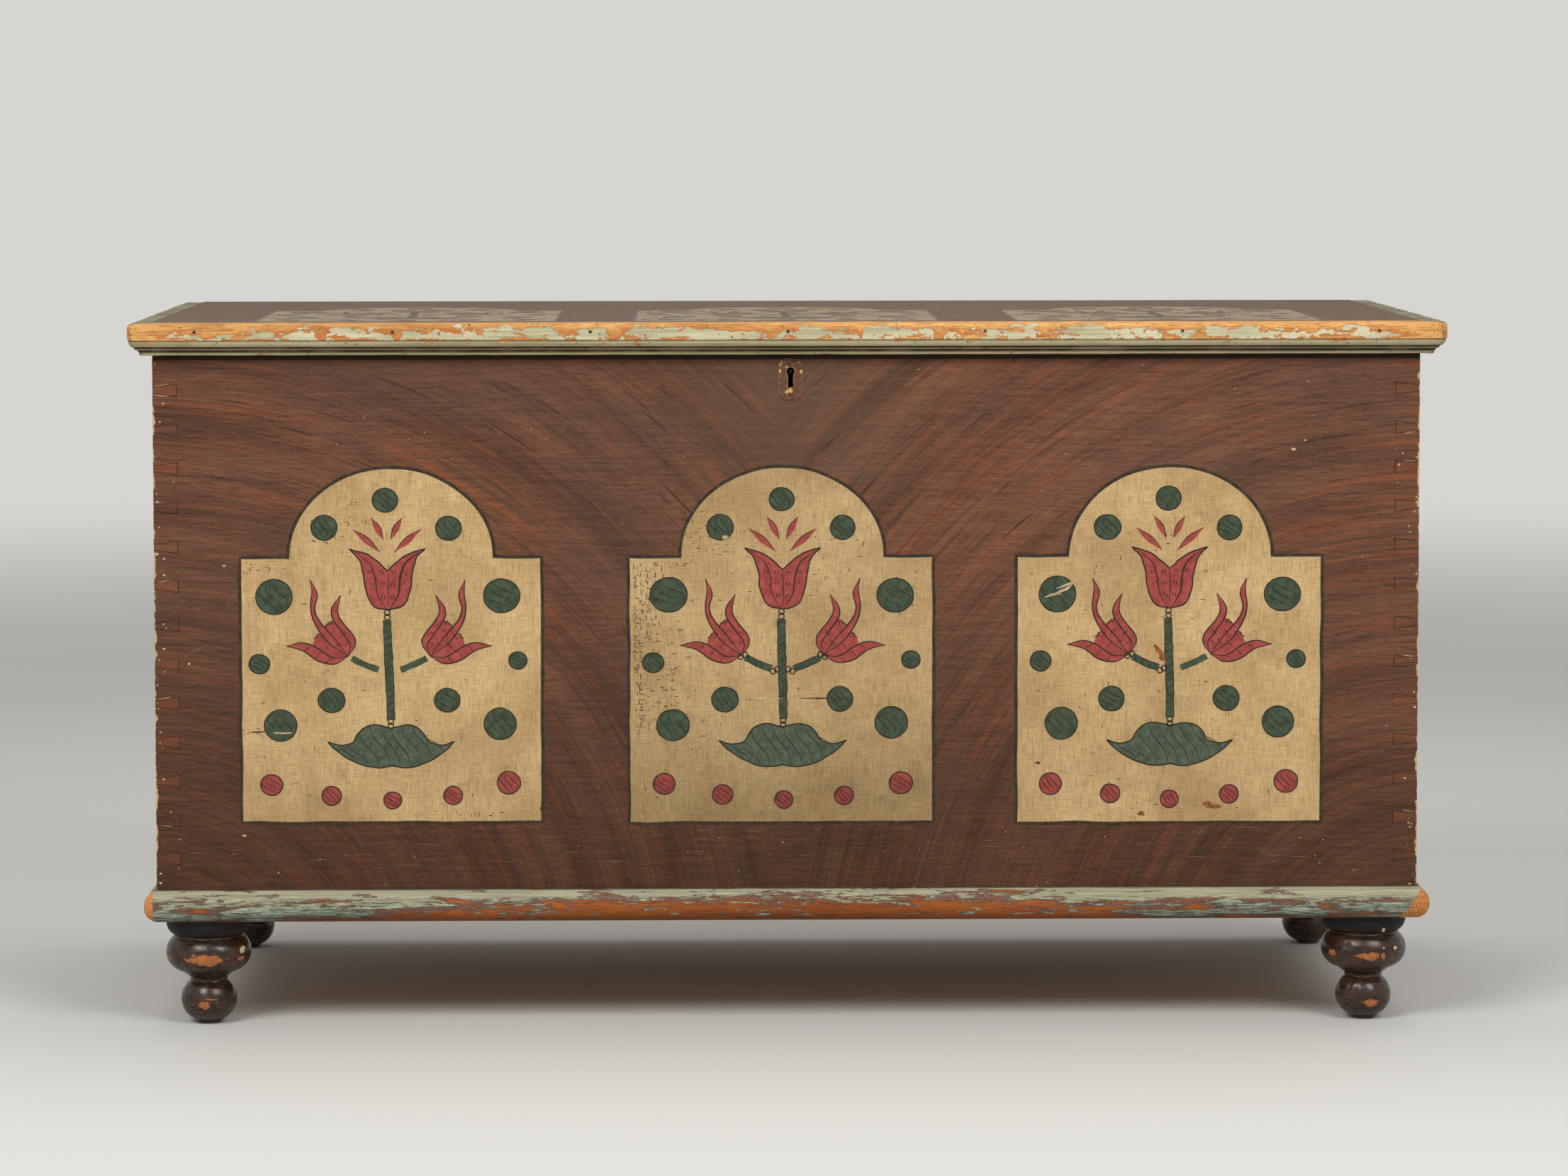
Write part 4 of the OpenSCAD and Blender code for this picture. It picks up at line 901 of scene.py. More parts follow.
class Panel:
    """One painted panel, on the front or on the lid."""

    def __init__(self, name, place, face, body, seed, edges, lean):
        self.seed, self.edges = seed, edges
        self.draw = random.Random(seed)

        def leaning(u, v, high):
            return place(u + lean * v / SHOULDER, v, high)
        coats = {
            "field": (FIELD_HIGH, "cream"), "border": (BORDER_HIGH, "border"), "green": (FILL_HIGH, "leaf"),
            "mound": (FILL_HIGH, "moss"), "red": (FILL_HIGH, "red"), "lines": (LINE_HIGH, "ink"),
            "breaks": (MARK_HIGH, "break"), "flakes": (MARK_HIGH, "flake"), "bares": (MARK_HIGH, "bare")
        }
        self.coats = {
            coat: Paint(
                f"{name}_{coat}", place if high < FILL_HIGH else leaning, high, PAINTS[paint, face], body
            )
            for coat, (high, paint) in coats.items()
        }

    def shape(self, coat, line, pen=1.4, amount=0.7):
        """A filled figure with an inked edge."""
        line = wobble(line, amount, 9, self.seed + len(line) * 0.01)
        self.coats[coat].plate(line)
        if pen:
            self.coats["lines"].ring(line, pen)

    def pen(self, points, width=1.3, coat="lines"):
        shaken = wobble([Vector(p) for p in points], 0.6, 11, self.seed)
        self.coats[coat].stroke(shaken, width * self.draw.uniform(0.8, 1.2), 0.4)

    def tick(self, u, v, length, turn, width=0.9, coat="lines"):
        """A short straight mark, turned from upright by some degrees."""
        way = Vector((-math.sin(math.radians(turn)), math.cos(math.radians(turn)))) * length / 2
        here = Vector((u, v))
        self.coats[coat].stroke([here - way, here, here + way], width, 0.5)

    def ground(self):
        line = field_outline(self.edges, self.seed)
        self.coats["field"].plate(line)
        sides = normals(line, True)
        rough = [2.8 + 0.8 * noise.noise(Vector((p.x / 5, p.y / 5, self.seed))) for p in line]
        outer = [p - n * r for p, n, r in zip(line, sides, rough)]
        self.coats["border"].band(outer, [p + n * 0.4 for p, n in zip(line, sides)], True)

    def spot(self, u, v, radius, coat):
        """A ball with its edge and a few curling lines."""
        u += self.draw.uniform(-0.8, 0.8)
        v += self.draw.uniform(-0.8, 0.8)
        wide = radius * self.draw.uniform(0.99, 1.05)
        tall = radius * self.draw.uniform(0.94, 1.0)
        self.shape(coat, [Vector((u + wide * x, v + tall * y)) for x, y in circle(44)], 1.2, 0.4)
        lean = math.radians(self.draw.uniform(5, 40))
        for offset in (-0.5, -0.05, 0.42):
            half_s = [(offset * 0.3 - 0.1, 0.86), (offset - 0.22, 0.45)]
            other_half = [(offset + 0.22, -0.45), (offset * 0.3 + 0.1, -0.86)]
            turned = [
                (x * math.cos(lean) - y * math.sin(lean), x * math.sin(lean) + y * math.cos(lean))
                for x, y in half_s + [(offset, 0)] + other_half
            ]
            self.pen([(u + x * wide, v + y * tall) for x, y in turned], 0.85)

    def tulip(self):
        edge, lip = TULIP_EDGE, TULIP_LIP
        self.shape("red", outline(edge, lip, mirrored(lip)[::-1], mirrored(edge)[::-1]), 1.4)
        self.pen([(0, 250), (0.5, 232), (0, 213)], 1.0)
        self.pen(TULIP_RIB, 1.1)
        self.pen(mirrored(TULIP_RIB), 1.7)
        for u in (-17, -6, 6, 17):
            for v in (247, 235, 223):
                for k in (-1.4, 1.4):
                    if abs(u) < 10 or v > 230:
                        shake = self.draw.uniform(-1.5, 1.5)
                        self.tick(u * (v / 247) ** 3 + k, v + shake, 3.4, u * 0.6, 1.0)
        for side in (1, -1):
            for foot, tip in LEAF_PETALS:
                a, b = Vector((side * foot[0], foot[1])), Vector((side * tip[0], tip[1]))
                across = Vector((-(b - a).y, (b - a).x)).normalized() * 3.3 * side
                middle = (a + b) / 2
                self.shape("red", outline([a, middle + across, b], [b, middle - across * 0.8, a]), 0, 0.4)
                self.coats["lines"].stroke([a, middle + across, b], 1.0)

    def side_tulip(self, side):
        def turned(points):
            return points if side < 0 else mirrored(points)
        self.coats["red"].plate(wobble(outline(turned(HEART + HEART[:1])), 0.6, 9, self.seed))
        for one, two in ((TALL_LEFT, TALL_RIGHT), (SMALL_LEFT, SMALL_RIGHT), (SIDE_UPPER, SIDE_LOWER)):
            edges = turned(one), turned(two)
            self.coats["red"].plate(wobble(outline(edges[0], edges[1][::-1]), 0.5, 14, self.seed))
            for edge in edges:
                line = wobble([Vector(p) for p in edge], 0.5, 14, self.seed)
                self.coats["lines"].stroke(line, 1.4, 0.5)
        for u, v, turn in FRINGES:
            self.tick(-side * u, v, 5.0, -side * turn, 1.2)
        for u, v in SIDE_DASHES:
            for k in (-1.3, 1.3):
                self.tick(-side * (u + k), v + k + self.draw.uniform(-1, 1), 2.8, side * 38, 1.0)

    def mound(self):
        top, foot = MOUND_TOP, MOUND_FOOT
        self.shape("mound", outline(top, mirrored(top)[::-1], mirrored(foot)[::-1], foot), 1.3)
        crest = curve(top) + curve(mirrored(top)[::-1])
        floor = curve(foot[::-1]) + curve(mirrored(foot))
        for k in range(9):
            u = -52 + k * 10.5
            ends = [Vector((u, at_height(crest, u) - 1)), Vector((u + 19, at_height(floor, u + 19) + 1.5))]
            if ends[0].y - ends[1].y < 4 or u + 19 > 60:
                continue
            upper = ends[0].lerp(ends[1], 0.3) + Vector((-2.4, 1))
            lower = ends[0].lerp(ends[1], 0.7) + Vector((2, 1))
            self.pen([ends[0], upper, lower, ends[1]], 0.9)
            for share in (0.25, 0.5, 0.75):
                here = ends[0].lerp(ends[1], share) + Vector((6, self.draw.uniform(-1.5, 1.5)))
                if at_height(floor, here.x) + 4 < here.y < at_height(crest, here.x) - 4:
                    self.tick(here.x, here.y, 3.2, 8, 0.6)

    def stalk(self, points, width, twist):
        """A twisted stem: a straight-ended ribbon, its edges inked, crossed by slanting marks."""
        line = curve(points)
        sides = [n * width / 2 for n in normals(line, False)]
        left = wobble([p + n for p, n in zip(line, sides)], 0.6, 6, self.seed)
        right = wobble([p - n for p, n in zip(line, sides)], 0.6, 6, self.seed)
        self.coats["green"].band(right, left, False)
        if twist:
            for edge in (left, right):
                self.coats["lines"].stroke(edge, 1.0, 0.7)
            for i in range(1, len(line) - 5, 6):
                self.coats["lines"].stroke([left[i], line[i + 2], right[i + 4]], 0.8, 0.5)

    def knot(self, u, v, turn):
        """The little crossed loops at the end of a stem."""
        way = Vector((math.cos(math.radians(turn)), math.sin(math.radians(turn))))
        across = Vector((-way.y, way.x))
        for shift in (-2.2, 2.2):
            loop = [Vector((u, v)) + way * (shift + 2.9 * x) + across * 2.7 * y for x, y in circle(14)]
            self.coats["lines"].ring(loop, 1.2)

    def figures(self, knots):
        """Mound, stem, twigs, tulips and spots. knots says which twigs are tied at their ends."""
        for u, v, radius in GREEN_SPOTS:
            self.spot(u, v, radius, "green")
        for u, v, radius in RED_SPOTS:
            self.spot(u, v, radius, "red")
        self.stalk(STEM, STEM_W, True)
        self.knot(-1.2, 205, 90)
        self.knot(0.3, 97, 90)
        for side in (-1, 1):
            self.stalk(TWIG if side < 0 else mirrored(TWIG), TWIG_W, side in knots)
            if side in knots:
                self.knot(side * 39.5, 163.5, -25 * side)
                self.knot(side * 7.5, 149, -25 * side)
        self.mound()
        self.tulip()
        self.side_tulip(-1)
        self.side_tulip(1)

    def cracks(self, count, left, right, low, high):
        """Small level and upright breaks scattered over part of the field, most at its left."""
        for _ in range(count):
            u = self.draw.triangular(left, right, left)
            v = self.draw.uniform(low, high)
            turn = self.draw.choice((0, 90, 90)) + self.draw.uniform(-10, 10)
            self.tick(u, v, self.draw.uniform(0.8, 5.0), turn, self.draw.uniform(0.3, 0.8), "breaks")

    def crack_row(self, u, low, high):
        """Short breaks one above another, some with a level branch."""
        v = low
        while v < high:
            long = self.draw.uniform(1.5, 6)
            beside = u + self.draw.uniform(-1, 1)
            turn, width = self.draw.uniform(-4, 4), self.draw.uniform(0.4, 0.9)
            self.tick(beside, v + long / 2, long, turn, width, "breaks")
            if self.draw.random() < 0.4:
                self.tick(beside + 2, v, 4, 90, 0.6, "breaks")
            v += long + self.draw.uniform(1, 7)

    def scar(self, coat, u, v, long, wide):
        """A torn patch, longer than it is high."""
        spread = [(x * long / 2 * self.draw.uniform(0.6, 1.1), y * wide / 2 * self.draw.uniform(0.4, 1.2))
                  for x, y in circle(13)]
        self.coats[coat].plate([Vector((u + x, v + y)) for x, y in spread])

    def done(self):
        for paint in self.coats.values():
            if paint.mesh.faces:
                paint.done()


# Materials that are used on more than one piece

# Lines and marks: light and dark colours, and 1 where they fade with the lid and take its painted sheen
MARKS = {
    "ink": (srgb(58, 52, 43), INK, 1),
    "border": (srgb(70, 58, 46), srgb(46, 38, 31), 1),
    "break": (srgb(100, 74, 48), srgb(46, 34, 24), 0),
    "flake": (srgb(206, 188, 154), srgb(166, 142, 108), 0),
    "bare": (srgb(150, 92, 52), srgb(106, 62, 36), 0)
}
PAINTS = {}
# On the lid, paints fade towards its colours: faded by the sun, and greyed by a painted sheen
for face, fade_and_sheen in (("front", 0.0), ("lid", 0.8)):
    PAINTS["cream", face] = cream_material(face, fade_and_sheen)
    PAINTS["leaf", face] = motif_material("leaf_green", face, LEAF, LEAF_DARK, fade_and_sheen)
    PAINTS["moss", face] = motif_material("moss_green", face, MOSS, MOSS_DARK, fade_and_sheen)
    PAINTS["red", face] = motif_material("tulip_red", face, RED, RED_DARK, fade_and_sheen)
    for mark, (light, dark, fades) in MARKS.items():
        PAINTS[mark, face] = line_material(f"{mark}_{face}", light, dark, fade_and_sheen * fades)

CASE = case_material()
LID = lid_material()
PINE_X = pine_material("pine_lengthwise", "x")
PINE_Y = pine_material("pine_crosswise", "y")
FOOT = foot_material()
IRON = iron_material()
BRASS_PLATE = brass_material()


# Height of the front panels' feet, and place of the lid panels' feet along Y
FRONT_FOOT_Z, LID_FOOT_Y = 0.208, -0.25

# Panels on the front and on the lid: their places along X, then the edges on the left, on the right and
# below, the lean at the shoulders, and the tied twigs
PANELS = {
    "left": (-0.3915, -0.377, (-147.7, 147.7, -0.5), -3.6, ()),
    "centre": (-0.005, 0.001, (-151.2, 148.3, -1.8), 0.0, (-1, 1)),
    "right": (0.3786, 0.379, (-151.3, 149.5, -3.0), -0.5, (-1,))
}

# Where the front panels' paint has broken: count, then left, right, low and high
CRACKS = {
    "left": [
        (14, -40, 30, 292, 318), (16, -75, -30, 262, 300), (10, -142, -90, 245, 258), (10, 0, 60, 205, 262),
        (14, -148, -105, 86, 96), (14, 60, 140, 4, 10)
    ],
    "centre": [
        (190, -147, -88, 85, 256), (40, -100, -40, 250, 310), (26, 30, 100, 240, 310),
        (16, 105, 146, 190, 256)
    ],
    "right": [(16, -140, 140, 60, 250), (14, -60, 60, 250, 320), (12, -40, 60, 3, 20)]
}

# Upright rows of short breaks on the middle panel: place, low and high
CRACK_ROWS = [
    (-146, 150, 254), (-141, 92, 256), (-134, 180, 258), (-126, 200, 257), (-119, 236, 258), (-109, 88, 150)
]

# Torn patches of the front panels: coat, place, length and height
SCARS = {
    "left": [
        ("flakes", -107, 88, 22, 3.0), ("flakes", -72, 85.5, 26, 1.2), ("flakes", -88, 124, 5, 3.5),
        ("flakes", 139, 209, 4, 1.4), ("breaks", -132, 89, 22, 1.4), ("breaks", 148, 12, 4, 9)
    ],
    "centre": [
        ("flakes", -20, 121, 42, 1.5), ("breaks", 34, 121, 34, 1.6), ("flakes", -57, 281, 8, 4.5),
        ("flakes", -12, 12, 4, 1.4)
    ],
    "right": [
        ("bares", -8, 160, 5, 6), ("bares", 43, 12, 20, 5), ("bares", 37, 15, 10, 4),
        ("bares", -28, 4.5, 10, 4.5), ("breaks", -28, 6.5, 5, 2), ("breaks", -131, 56, 7, 3),
        ("flakes", -112, 224, 14, 1.4), ("flakes", 0, 33, 2.4, 2.0), ("flakes", -78, 128, 2.4, 2.0)
    ]
}

# Slanting marks on the right panel: coat, width and points
SLANTS = [
    ("flakes", 2.6, [(-124, 221), (-108, 226), (-93, 236)]),
    ("flakes", 1.8, [(-112, 229), (-100, 234), (-90, 239)]),
    ("bares", 4.6, [(-15, 173), (-9, 165), (-4, 156)])
]
for number, (where, (front_x, lid_x, edges, lean, tied)) in enumerate(PANELS.items()):
    place = on_front(front_x, FRONT_FOOT_Z)
    panel = Panel("panel_" + where, place, "front", "case", 11 + number, edges, lean)
    panel.ground()
    panel.figures(tied)
    panel.cracks(36, -145, 145, 4, 255)
    for region in CRACKS[where]:
        panel.cracks(*region)
    for row in CRACK_ROWS if where == "centre" else ():
        panel.crack_row(*row)
    for scar in SCARS[where]:
        panel.scar(*scar)
    for coat, width, points in SLANTS if where == "right" else ():
        panel.coats[coat].stroke(wobble(curve(points, 4), 1.4, 4, 5), width, 0.2)
    panel.done()
    place = on_lid(lid_x, LID_FOOT_Y)
    faded = Panel("lid_panel_" + where, place, "lid", "lid", 21 + number, edges, 0.0)
    faded.ground()
    faded.figures(tied)
    faded.cracks(60, -145, 145, 4, 255)
    faded.done()


# Mouldings, swept with the wear of use


def arc(x, y, radius, start, end):
    """Points of an arc, with angles in degrees."""
    count = max(2, round(abs(end - start) * radius / 60))
    turns = [math.radians(start + (end - start) * i / count) for i in range(count + 1)]
    return [(x + radius * math.cos(t), y + radius * math.sin(t)) for t in turns]


def lid_profile():
    """Outline of the lid moulding, out from the lid and up, from its inner foot round to its inner top."""
    x_ovolo = LID_T - QUIRK - OVOLO_R
    x_fillet = x_ovolo + FILLET_OUT
    z_ovolo = COVE_R + FILLET_H + OVOLO_R
    z_face = z_ovolo + QUIRK / 2
    top = z_face + FACE_H
    z_fillet = COVE_R + FILLET_H
    return (
        [(0, 0)] + arc(x_fillet, 0, COVE_R, 180, 90) + [(x_fillet, z_fillet), (x_ovolo, z_fillet)]
        + arc(x_ovolo, z_ovolo, OVOLO_R, -90, 0)[1:] + [(LID_T - QUIRK, z_face), (LID_T, z_face)]
        + arc(LID_T - NOSE_R, top - NOSE_R, NOSE_R, 0, 90) + [(0, top)]
    )


def base_profile():
    """Outline of the base moulding, from its inner foot round to its inner top."""
    reach = math.degrees(math.asin(BASE_H / 2 / BASE_R))
    return [(0, 0)] + arc(BASE_OUT - BASE_R, BASE_H / 2, BASE_R, -reach, reach) + [(0, BASE_H)]


def eased(line):
    """An open line with its sharp edges eased a little."""
    return [line[0]] + [(a + 2 * b + c) / 4 for a, b, c in zip(line, line[1:], line[2:])] + [line[-1]]


def stations(length, step, fine, reach):
    """Shares of a length, closer together near its ends."""
    near = [i * fine for i in range(int(reach / fine))]
    count = round((length - 2 * reach) / step)
    middle = [reach + (length - 2 * reach) * i / count for i in range(count + 1)]
    return [s / length for s in near + middle + [length - s for s in reversed(near)]]


def round_corner(far, out, reach, radius):
    """A point of a run, far along as if the corner were sharp, carried round it as far as the mitre."""
    start = reach + out - radius
    if far <= start or radius <= 0:
        return far, out
    turn = math.radians(45 * (far - start) / radius)
    return start + radius * math.sin(turn), out - radius * (1 - math.cos(turn))


def worn(p, lengthwise, edge):
    """How far a point of a moulding is worn in, in millimetres."""
    slow = noise.noise(Vector((lengthwise / 70, p.x / 40, p.y / 30)))
    fast = noise.noise(Vector((lengthwise / 14, p.x / 9, p.y / 9)))
    bite = noise.noise(Vector((lengthwise / 26, p.y / 12, 9)))
    return max(0, 0.3 + 0.25 * slow + 0.2 * fast + edge * max(0, bite + 0.05))


# Steps of the swept mouldings in millimetres: round the outline, along the run, and near its ends, so far in
PROFILE_STEP, RUN_STEP, END_STEP, END_REACH = 0.9, 3.0, 0.9, 14


def swept(name, profile, half, front_y, corners, edge_wear, material, body):
    """A worn moulding along the front or an end, mitred at the front corners.

    corners gives the left and right corners' radius, and the share of its overhang that each end keeps.
    """
    low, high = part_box(name)
    run = name.rsplit("_", 1)[1]
    side = {"front": 0, "left": -1, "right": 1}[run]
    reach = (high.y - front_y) / MM if side else half
    line = eased(steps(profile, PROFILE_STEP))
    outward = [-n for n in normals(line, False)]
    mesh = bmesh.new()
    rows = []
    for share in stations(reach if side else 2 * reach, RUN_STEP, END_STEP, END_REACH):
        place = share if side else 2 * share - 1
        lengthwise = side * (half + (1 - place) * reach) if side else place * half
        row = []
        for p, n in zip(line, outward):
            depth = worn(p, lengthwise, edge_wear(p)) if p.x > 0.01 else 0
            out = p.x - depth * n.x
            level = low.z + (p.y - depth * n.y) * MM
            corner_r, slim = corners[(side or place) > 0]
            radius = min(1.5, p.x) + corner_r * min(1, max(0, (p.x - 8) / 14))
            far, out = round_corner(abs(place) * (reach + out), out, reach, radius)
            if side:
                spot = (side * (half + out * slim) * MM, high.y - far * MM, level)
            else:
                far -= max(0, far - reach) * (1 - slim)
                spot = (math.copysign(far, place) * MM, front_y - out * MM, level)
            row.append(mesh.verts.new(spot))
        rows.append(row)
    for one, two in zip(rows, rows[1:]):
        strip(mesh, one, two)
    mesh.faces.new(rows[0])
    mesh.faces.new(rows[-1][::-1])
    bmesh.ops.recalc_face_normals(mesh, faces=mesh.faces)
    bmesh.ops.triangulate(mesh, faces=[f for f in mesh.faces if len(f.verts) > 4])
    piece("worn_" + name, mesh, material, body, name, 38)


def lid_edge_wear(p):
    return 0.8 if p.y > 28 else 0.5 if p.y < 3 else 0.15


def base_edge_wear(p):
    return 1.6 if p.y < 6 else 0.7


LID_CORNERS = (10.0, LEFT_SLIM), (18.0, 1.0)
BASE_CORNERS = (4.0, 1.0), (4.0, 1.0)
BASE_LOOKS = {run: base_moulding_material(run) for run in ("front", "left", "right")}
LID_RUN = lid_profile(), LID_HALF / MM, LID_FRONT, LID_CORNERS, lid_edge_wear
BASE_RUN = base_profile(), HALF_W / MM, Y_FRONT, BASE_CORNERS, base_edge_wear
for run, base_look in BASE_LOOKS.items():
    swept("lid_moulding_" + run, *LID_RUN, lid_moulding_material(run), "lid")
    swept("base_moulding_" + run, *BASE_RUN, base_look, "case")


# Turned feet

FOOT_H, TENON_R = 112.0, 13.0
PAD_R = 12.0
LOW_Z, LOW_R, LOW_ARC = 24.5, 28.0, 23.0
NECK_Z, NECK_R, NECK_COVE = 43.5, 18.5, 6.0
BALL_Z, BALL_R, BALL_ARC = 72.0, 42.7, 20.0
COLLAR_Z, COLLAR_R, COLLAR_ARC = 102.0, 42.3, 14.0
FOOT_SIDES, FOOT_LEVELS = 96, 150
EASE = (-1.2, -0.6, 0.0, 0.6, 1.2)


def foot_radius(z):
    """Radius of a foot at a height: the widest of its balls, collar and neck there."""
    def ball(centre, wide, bow):
        rise = abs(z - centre)
        return wide - bow + math.sqrt(bow * bow - rise * rise) if rise < bow else 0
    neck = 0
    if LOW_Z < z < BALL_Z:
        dip = abs(z - NECK_Z)
        neck = NECK_R + NECK_COVE - (math.sqrt(NECK_COVE ** 2 - dip * dip) if dip < NECK_COVE else 0)
    pad = PAD_R if z < LOW_Z else 0
    collar = COLLAR_R if z > COLLAR_Z else ball(COLLAR_Z, COLLAR_R, COLLAR_ARC)
    return max(pad, neck, collar, ball(LOW_Z, LOW_R, LOW_ARC), ball(BALL_Z, BALL_R, BALL_ARC))


def turned_foot(name, seed):
    """A foot as the lathe left it, a little out of true and dented."""
    low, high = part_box(name)
    middle = (low + high) / 2
    levels = [FOOT_H * i / FOOT_LEVELS for i in range(FOOT_LEVELS + 1)]
    top = (high.z - low.z) / MM
    radii = [sum(foot_radius(min(FOOT_H, max(0, z + step))) for step in EASE) / len(EASE) for z in levels]
    outline_points = list(zip(radii, levels)) + [(TENON_R, FOOT_H), (TENON_R, top)]
    mesh = bmesh.new()
    rings = []
    for radius, z in outline_points:
        ring = []
        for i in range(FOOT_SIDES):
            turn = 2 * math.pi * i / FOOT_SIDES
            way = Vector((math.cos(turn), math.sin(turn), 0))
            dent = noise.noise(Vector((way.x * 1.4, way.y * 1.4, z / 16 + seed)))
            knock = max(0, noise.noise(Vector((way.x * 4, way.y * 4, z / 9 + seed * 3))) - 0.35)
            flat = 0 if z > FOOT_H - 3 or z < 1 else 0.25 + 0.2 * dent + 2.2 * knock
            place = middle + way * (radius - flat) * MM
            ring.append(mesh.verts.new((place.x, place.y, low.z + z * MM)))
        rings.append(ring)
    for one, two in zip(rings, rings[1:]):
        strip(mesh, one, two)
    mesh.faces.new(rings[0][::-1])
    mesh.faces.new(rings[-1])
    piece("turned_" + name, mesh, FOOT, "case", name, 40)


for seed, foot in enumerate(("foot_front_left", "foot_front_right", "foot_back_left", "foot_back_right")):
    turned_foot(foot, seed + 1)


# Brush strokes and small marks of age on the case

HEIGHT = (Z_RIM - Z_CASE) / MM
EDGE = HALF_W / MM
STROKE_HIGH, CHIP_HIGH = 0.05, 0.1
SWEEP_ASIDE, SWEEP_DROP = SWEEP_X / MM, (Z_CASE - SWEEP_Z) / MM
DARK_COUNT, EDGE_CHIPS, LOW_CHIPS, HIGH_CHIPS, SCRATCH_COUNT = 44, 30, 36, 24, 90
on_case = on_front(0, Z_CASE)

DARK = line_material("dark_stroke", srgb(80, 57, 44), srgb(58, 43, 34))
darks = Paint("dark_strokes", on_case, STROKE_HIGH, DARK, "case")
for side in (-1, 1):
    for _ in range(DARK_COUNT):
        level = rng.triangular(60, HEIGHT - 8, HEIGHT - 40)
        across = rng.uniform(20, EDGE - 30)
        inward, rise = SWEEP_ASIDE - across, level + SWEEP_DROP
        radius, turn = math.hypot(inward, rise), math.atan2(inward, rise)
        reach = rng.uniform(12, 46) / radius
        for hair in range(2):
            ends = [turn + reach * rng.uniform(-1, -0.3), turn + reach * rng.uniform(0.3, 1)]
            ring = radius + (hair - 0.5) * rng.uniform(0.8, 2.0)
            turns = [ends[0] + (ends[1] - ends[0]) * s for s in (0, 0.5, 1)]
            line = [(SWEEP_ASIDE - ring * math.sin(t), ring * math.cos(t) - SWEEP_DROP) for t in turns]
            line = [Vector((side * u, v)) for u, v in line if 2 < v < HEIGHT - 2 and abs(u) < EDGE - 3]
            if len(line) == 3:
                darks.stroke(line, rng.uniform(0.4, 1.3), 0.15)
darks.done()

SEAM = line_material("seam", srgb(92, 64, 48), srgb(54, 38, 28))
joints = Paint("joint_lines", on_case, CHIP_HIGH, SEAM, "case")
chips = Paint("pale_chips", on_case, CHIP_HIGH, PAINTS["flake", "front"], "case")
pitch = PITCH / MM
for side in (-1, 1):
    for k in range(1, TAILS):
        middle = k * pitch
        tip = side * (EDGE - 0.5)
        root = side * (EDGE - END_T)
        for way in (-1, 1):
            ends = Vector((tip, middle + way * PIN_TIP / 2)), Vector((root, middle + way * PIN_ROOT / 2))
            start = rng.uniform(0, 0.25)
            line = [ends[0].lerp(ends[1], s) for s in (start, 0.6, 1)]
            joints.stroke(wobble(line, 1.2, 9, k), rng.uniform(0.3, 0.9), 0.3)
            if rng.random() < 0.25:
                beside = [p + Vector((0, way * 0.9)) for p in line[:2]] + line[1:2]
                chips.stroke(wobble(beside, 1.0, 7, k), 0.5, 0.2)
        across = [Vector((root, middle + PIN_ROOT / 2 * s)) for s in (-1, 0, 1)]
        joints.stroke(wobble(across, 0.8, 9, k), rng.uniform(0.2, 0.7), 0.3)
joints.done()


def chip(left, right, low, high, size):
    """A small torn spot somewhere in a part of the front."""
    u, v = rng.uniform(left, right), rng.uniform(low, high)
    spread = [
        (x * 1.5 * size * rng.uniform(0.35, 1), y * size * rng.uniform(0.35, 1)) for x, y in circle(9)
    ]
    chips.plate([Vector((u + x, v + y)) for x, y in spread])


for side in (-1, 1):
    for _ in range(EDGE_CHIPS):
        place = side * (EDGE - rng.expovariate(1 / 7) - 1.5)
        chip(place, place, 4, HEIGHT - 12, rng.uniform(0.5, 1.5))
for _ in range(LOW_CHIPS):
    chip(-EDGE + 20, EDGE - 20, 6, 66, rng.uniform(0.3, 0.9))
for _ in range(HIGH_CHIPS):
    chip(-EDGE + 20, EDGE - 20, 430, HEIGHT - 12, rng.uniform(0.3, 0.8))
for u, v, size in ((-538, 62, 2.0), (500, 443, 2.4), (-556, 330, 1.8), (512, 452, 1.4)):
    chip(u, u, v, v, size)
chips.done()

SCRATCH = line_material("scratch", srgb(150, 112, 82), srgb(122, 84, 58))
scratches = Paint("scratches", on_case, CHIP_HIGH, SCRATCH, "case")
for _ in range(SCRATCH_COUNT):
    low_part = rng.random() < 0.6
    across = rng.uniform(-EDGE + 15, EDGE - 40)
    here = Vector((across, rng.uniform(32, 74) if low_part else rng.uniform(80, HEIGHT - 12)))
    long = rng.uniform(6, 26)
    is_level = low_part or rng.random() < 0.5
    run = Vector((long, rng.uniform(-1, 1) if is_level else rng.uniform(-14, 14)))
    middle = here + run * 0.5 + Vector((0, rng.uniform(-0.6, 0.6)))
    scratches.stroke([here, middle, here + run], rng.uniform(0.2, 0.45), 0.2)
scratches.done()

for name, side in (("left", -1), ("right", 1)):
    seams = Paint("end_seams_" + name, on_end(side), CHIP_HIGH, SEAM, "case")
    depth = (Y_BACK - Y_FRONT) / MM
    front_t = (Y_INSIDE - Y_FRONT) / MM
    back_t = (Y_BACK - back_low.y) / MM
    for k in range(1, TAILS):
        for way in (-1, 1):
            level = k * pitch + way * PIN_TIP / 2
            for start, end in ((0.8, front_t), (depth - back_t, depth - 0.8)):
                ends = [Vector((side * s, level)) for s in (start, (start + end) / 2, end)]
                seams.stroke(wobble(ends, 0.5, 9, k), rng.uniform(0.4, 0.8), 0.4)
    for place in (front_t, depth - back_t):
        for k in range(TAILS):
            ends = [Vector((side * place, (k + s) * pitch)) for s in (0.12, 0.5, 0.88)]
            seams.stroke(wobble(ends, 0.5, 9, k), rng.uniform(0.4, 0.8), 0.4)
    seams.done()


# Finishes of the pieces that stay as they are

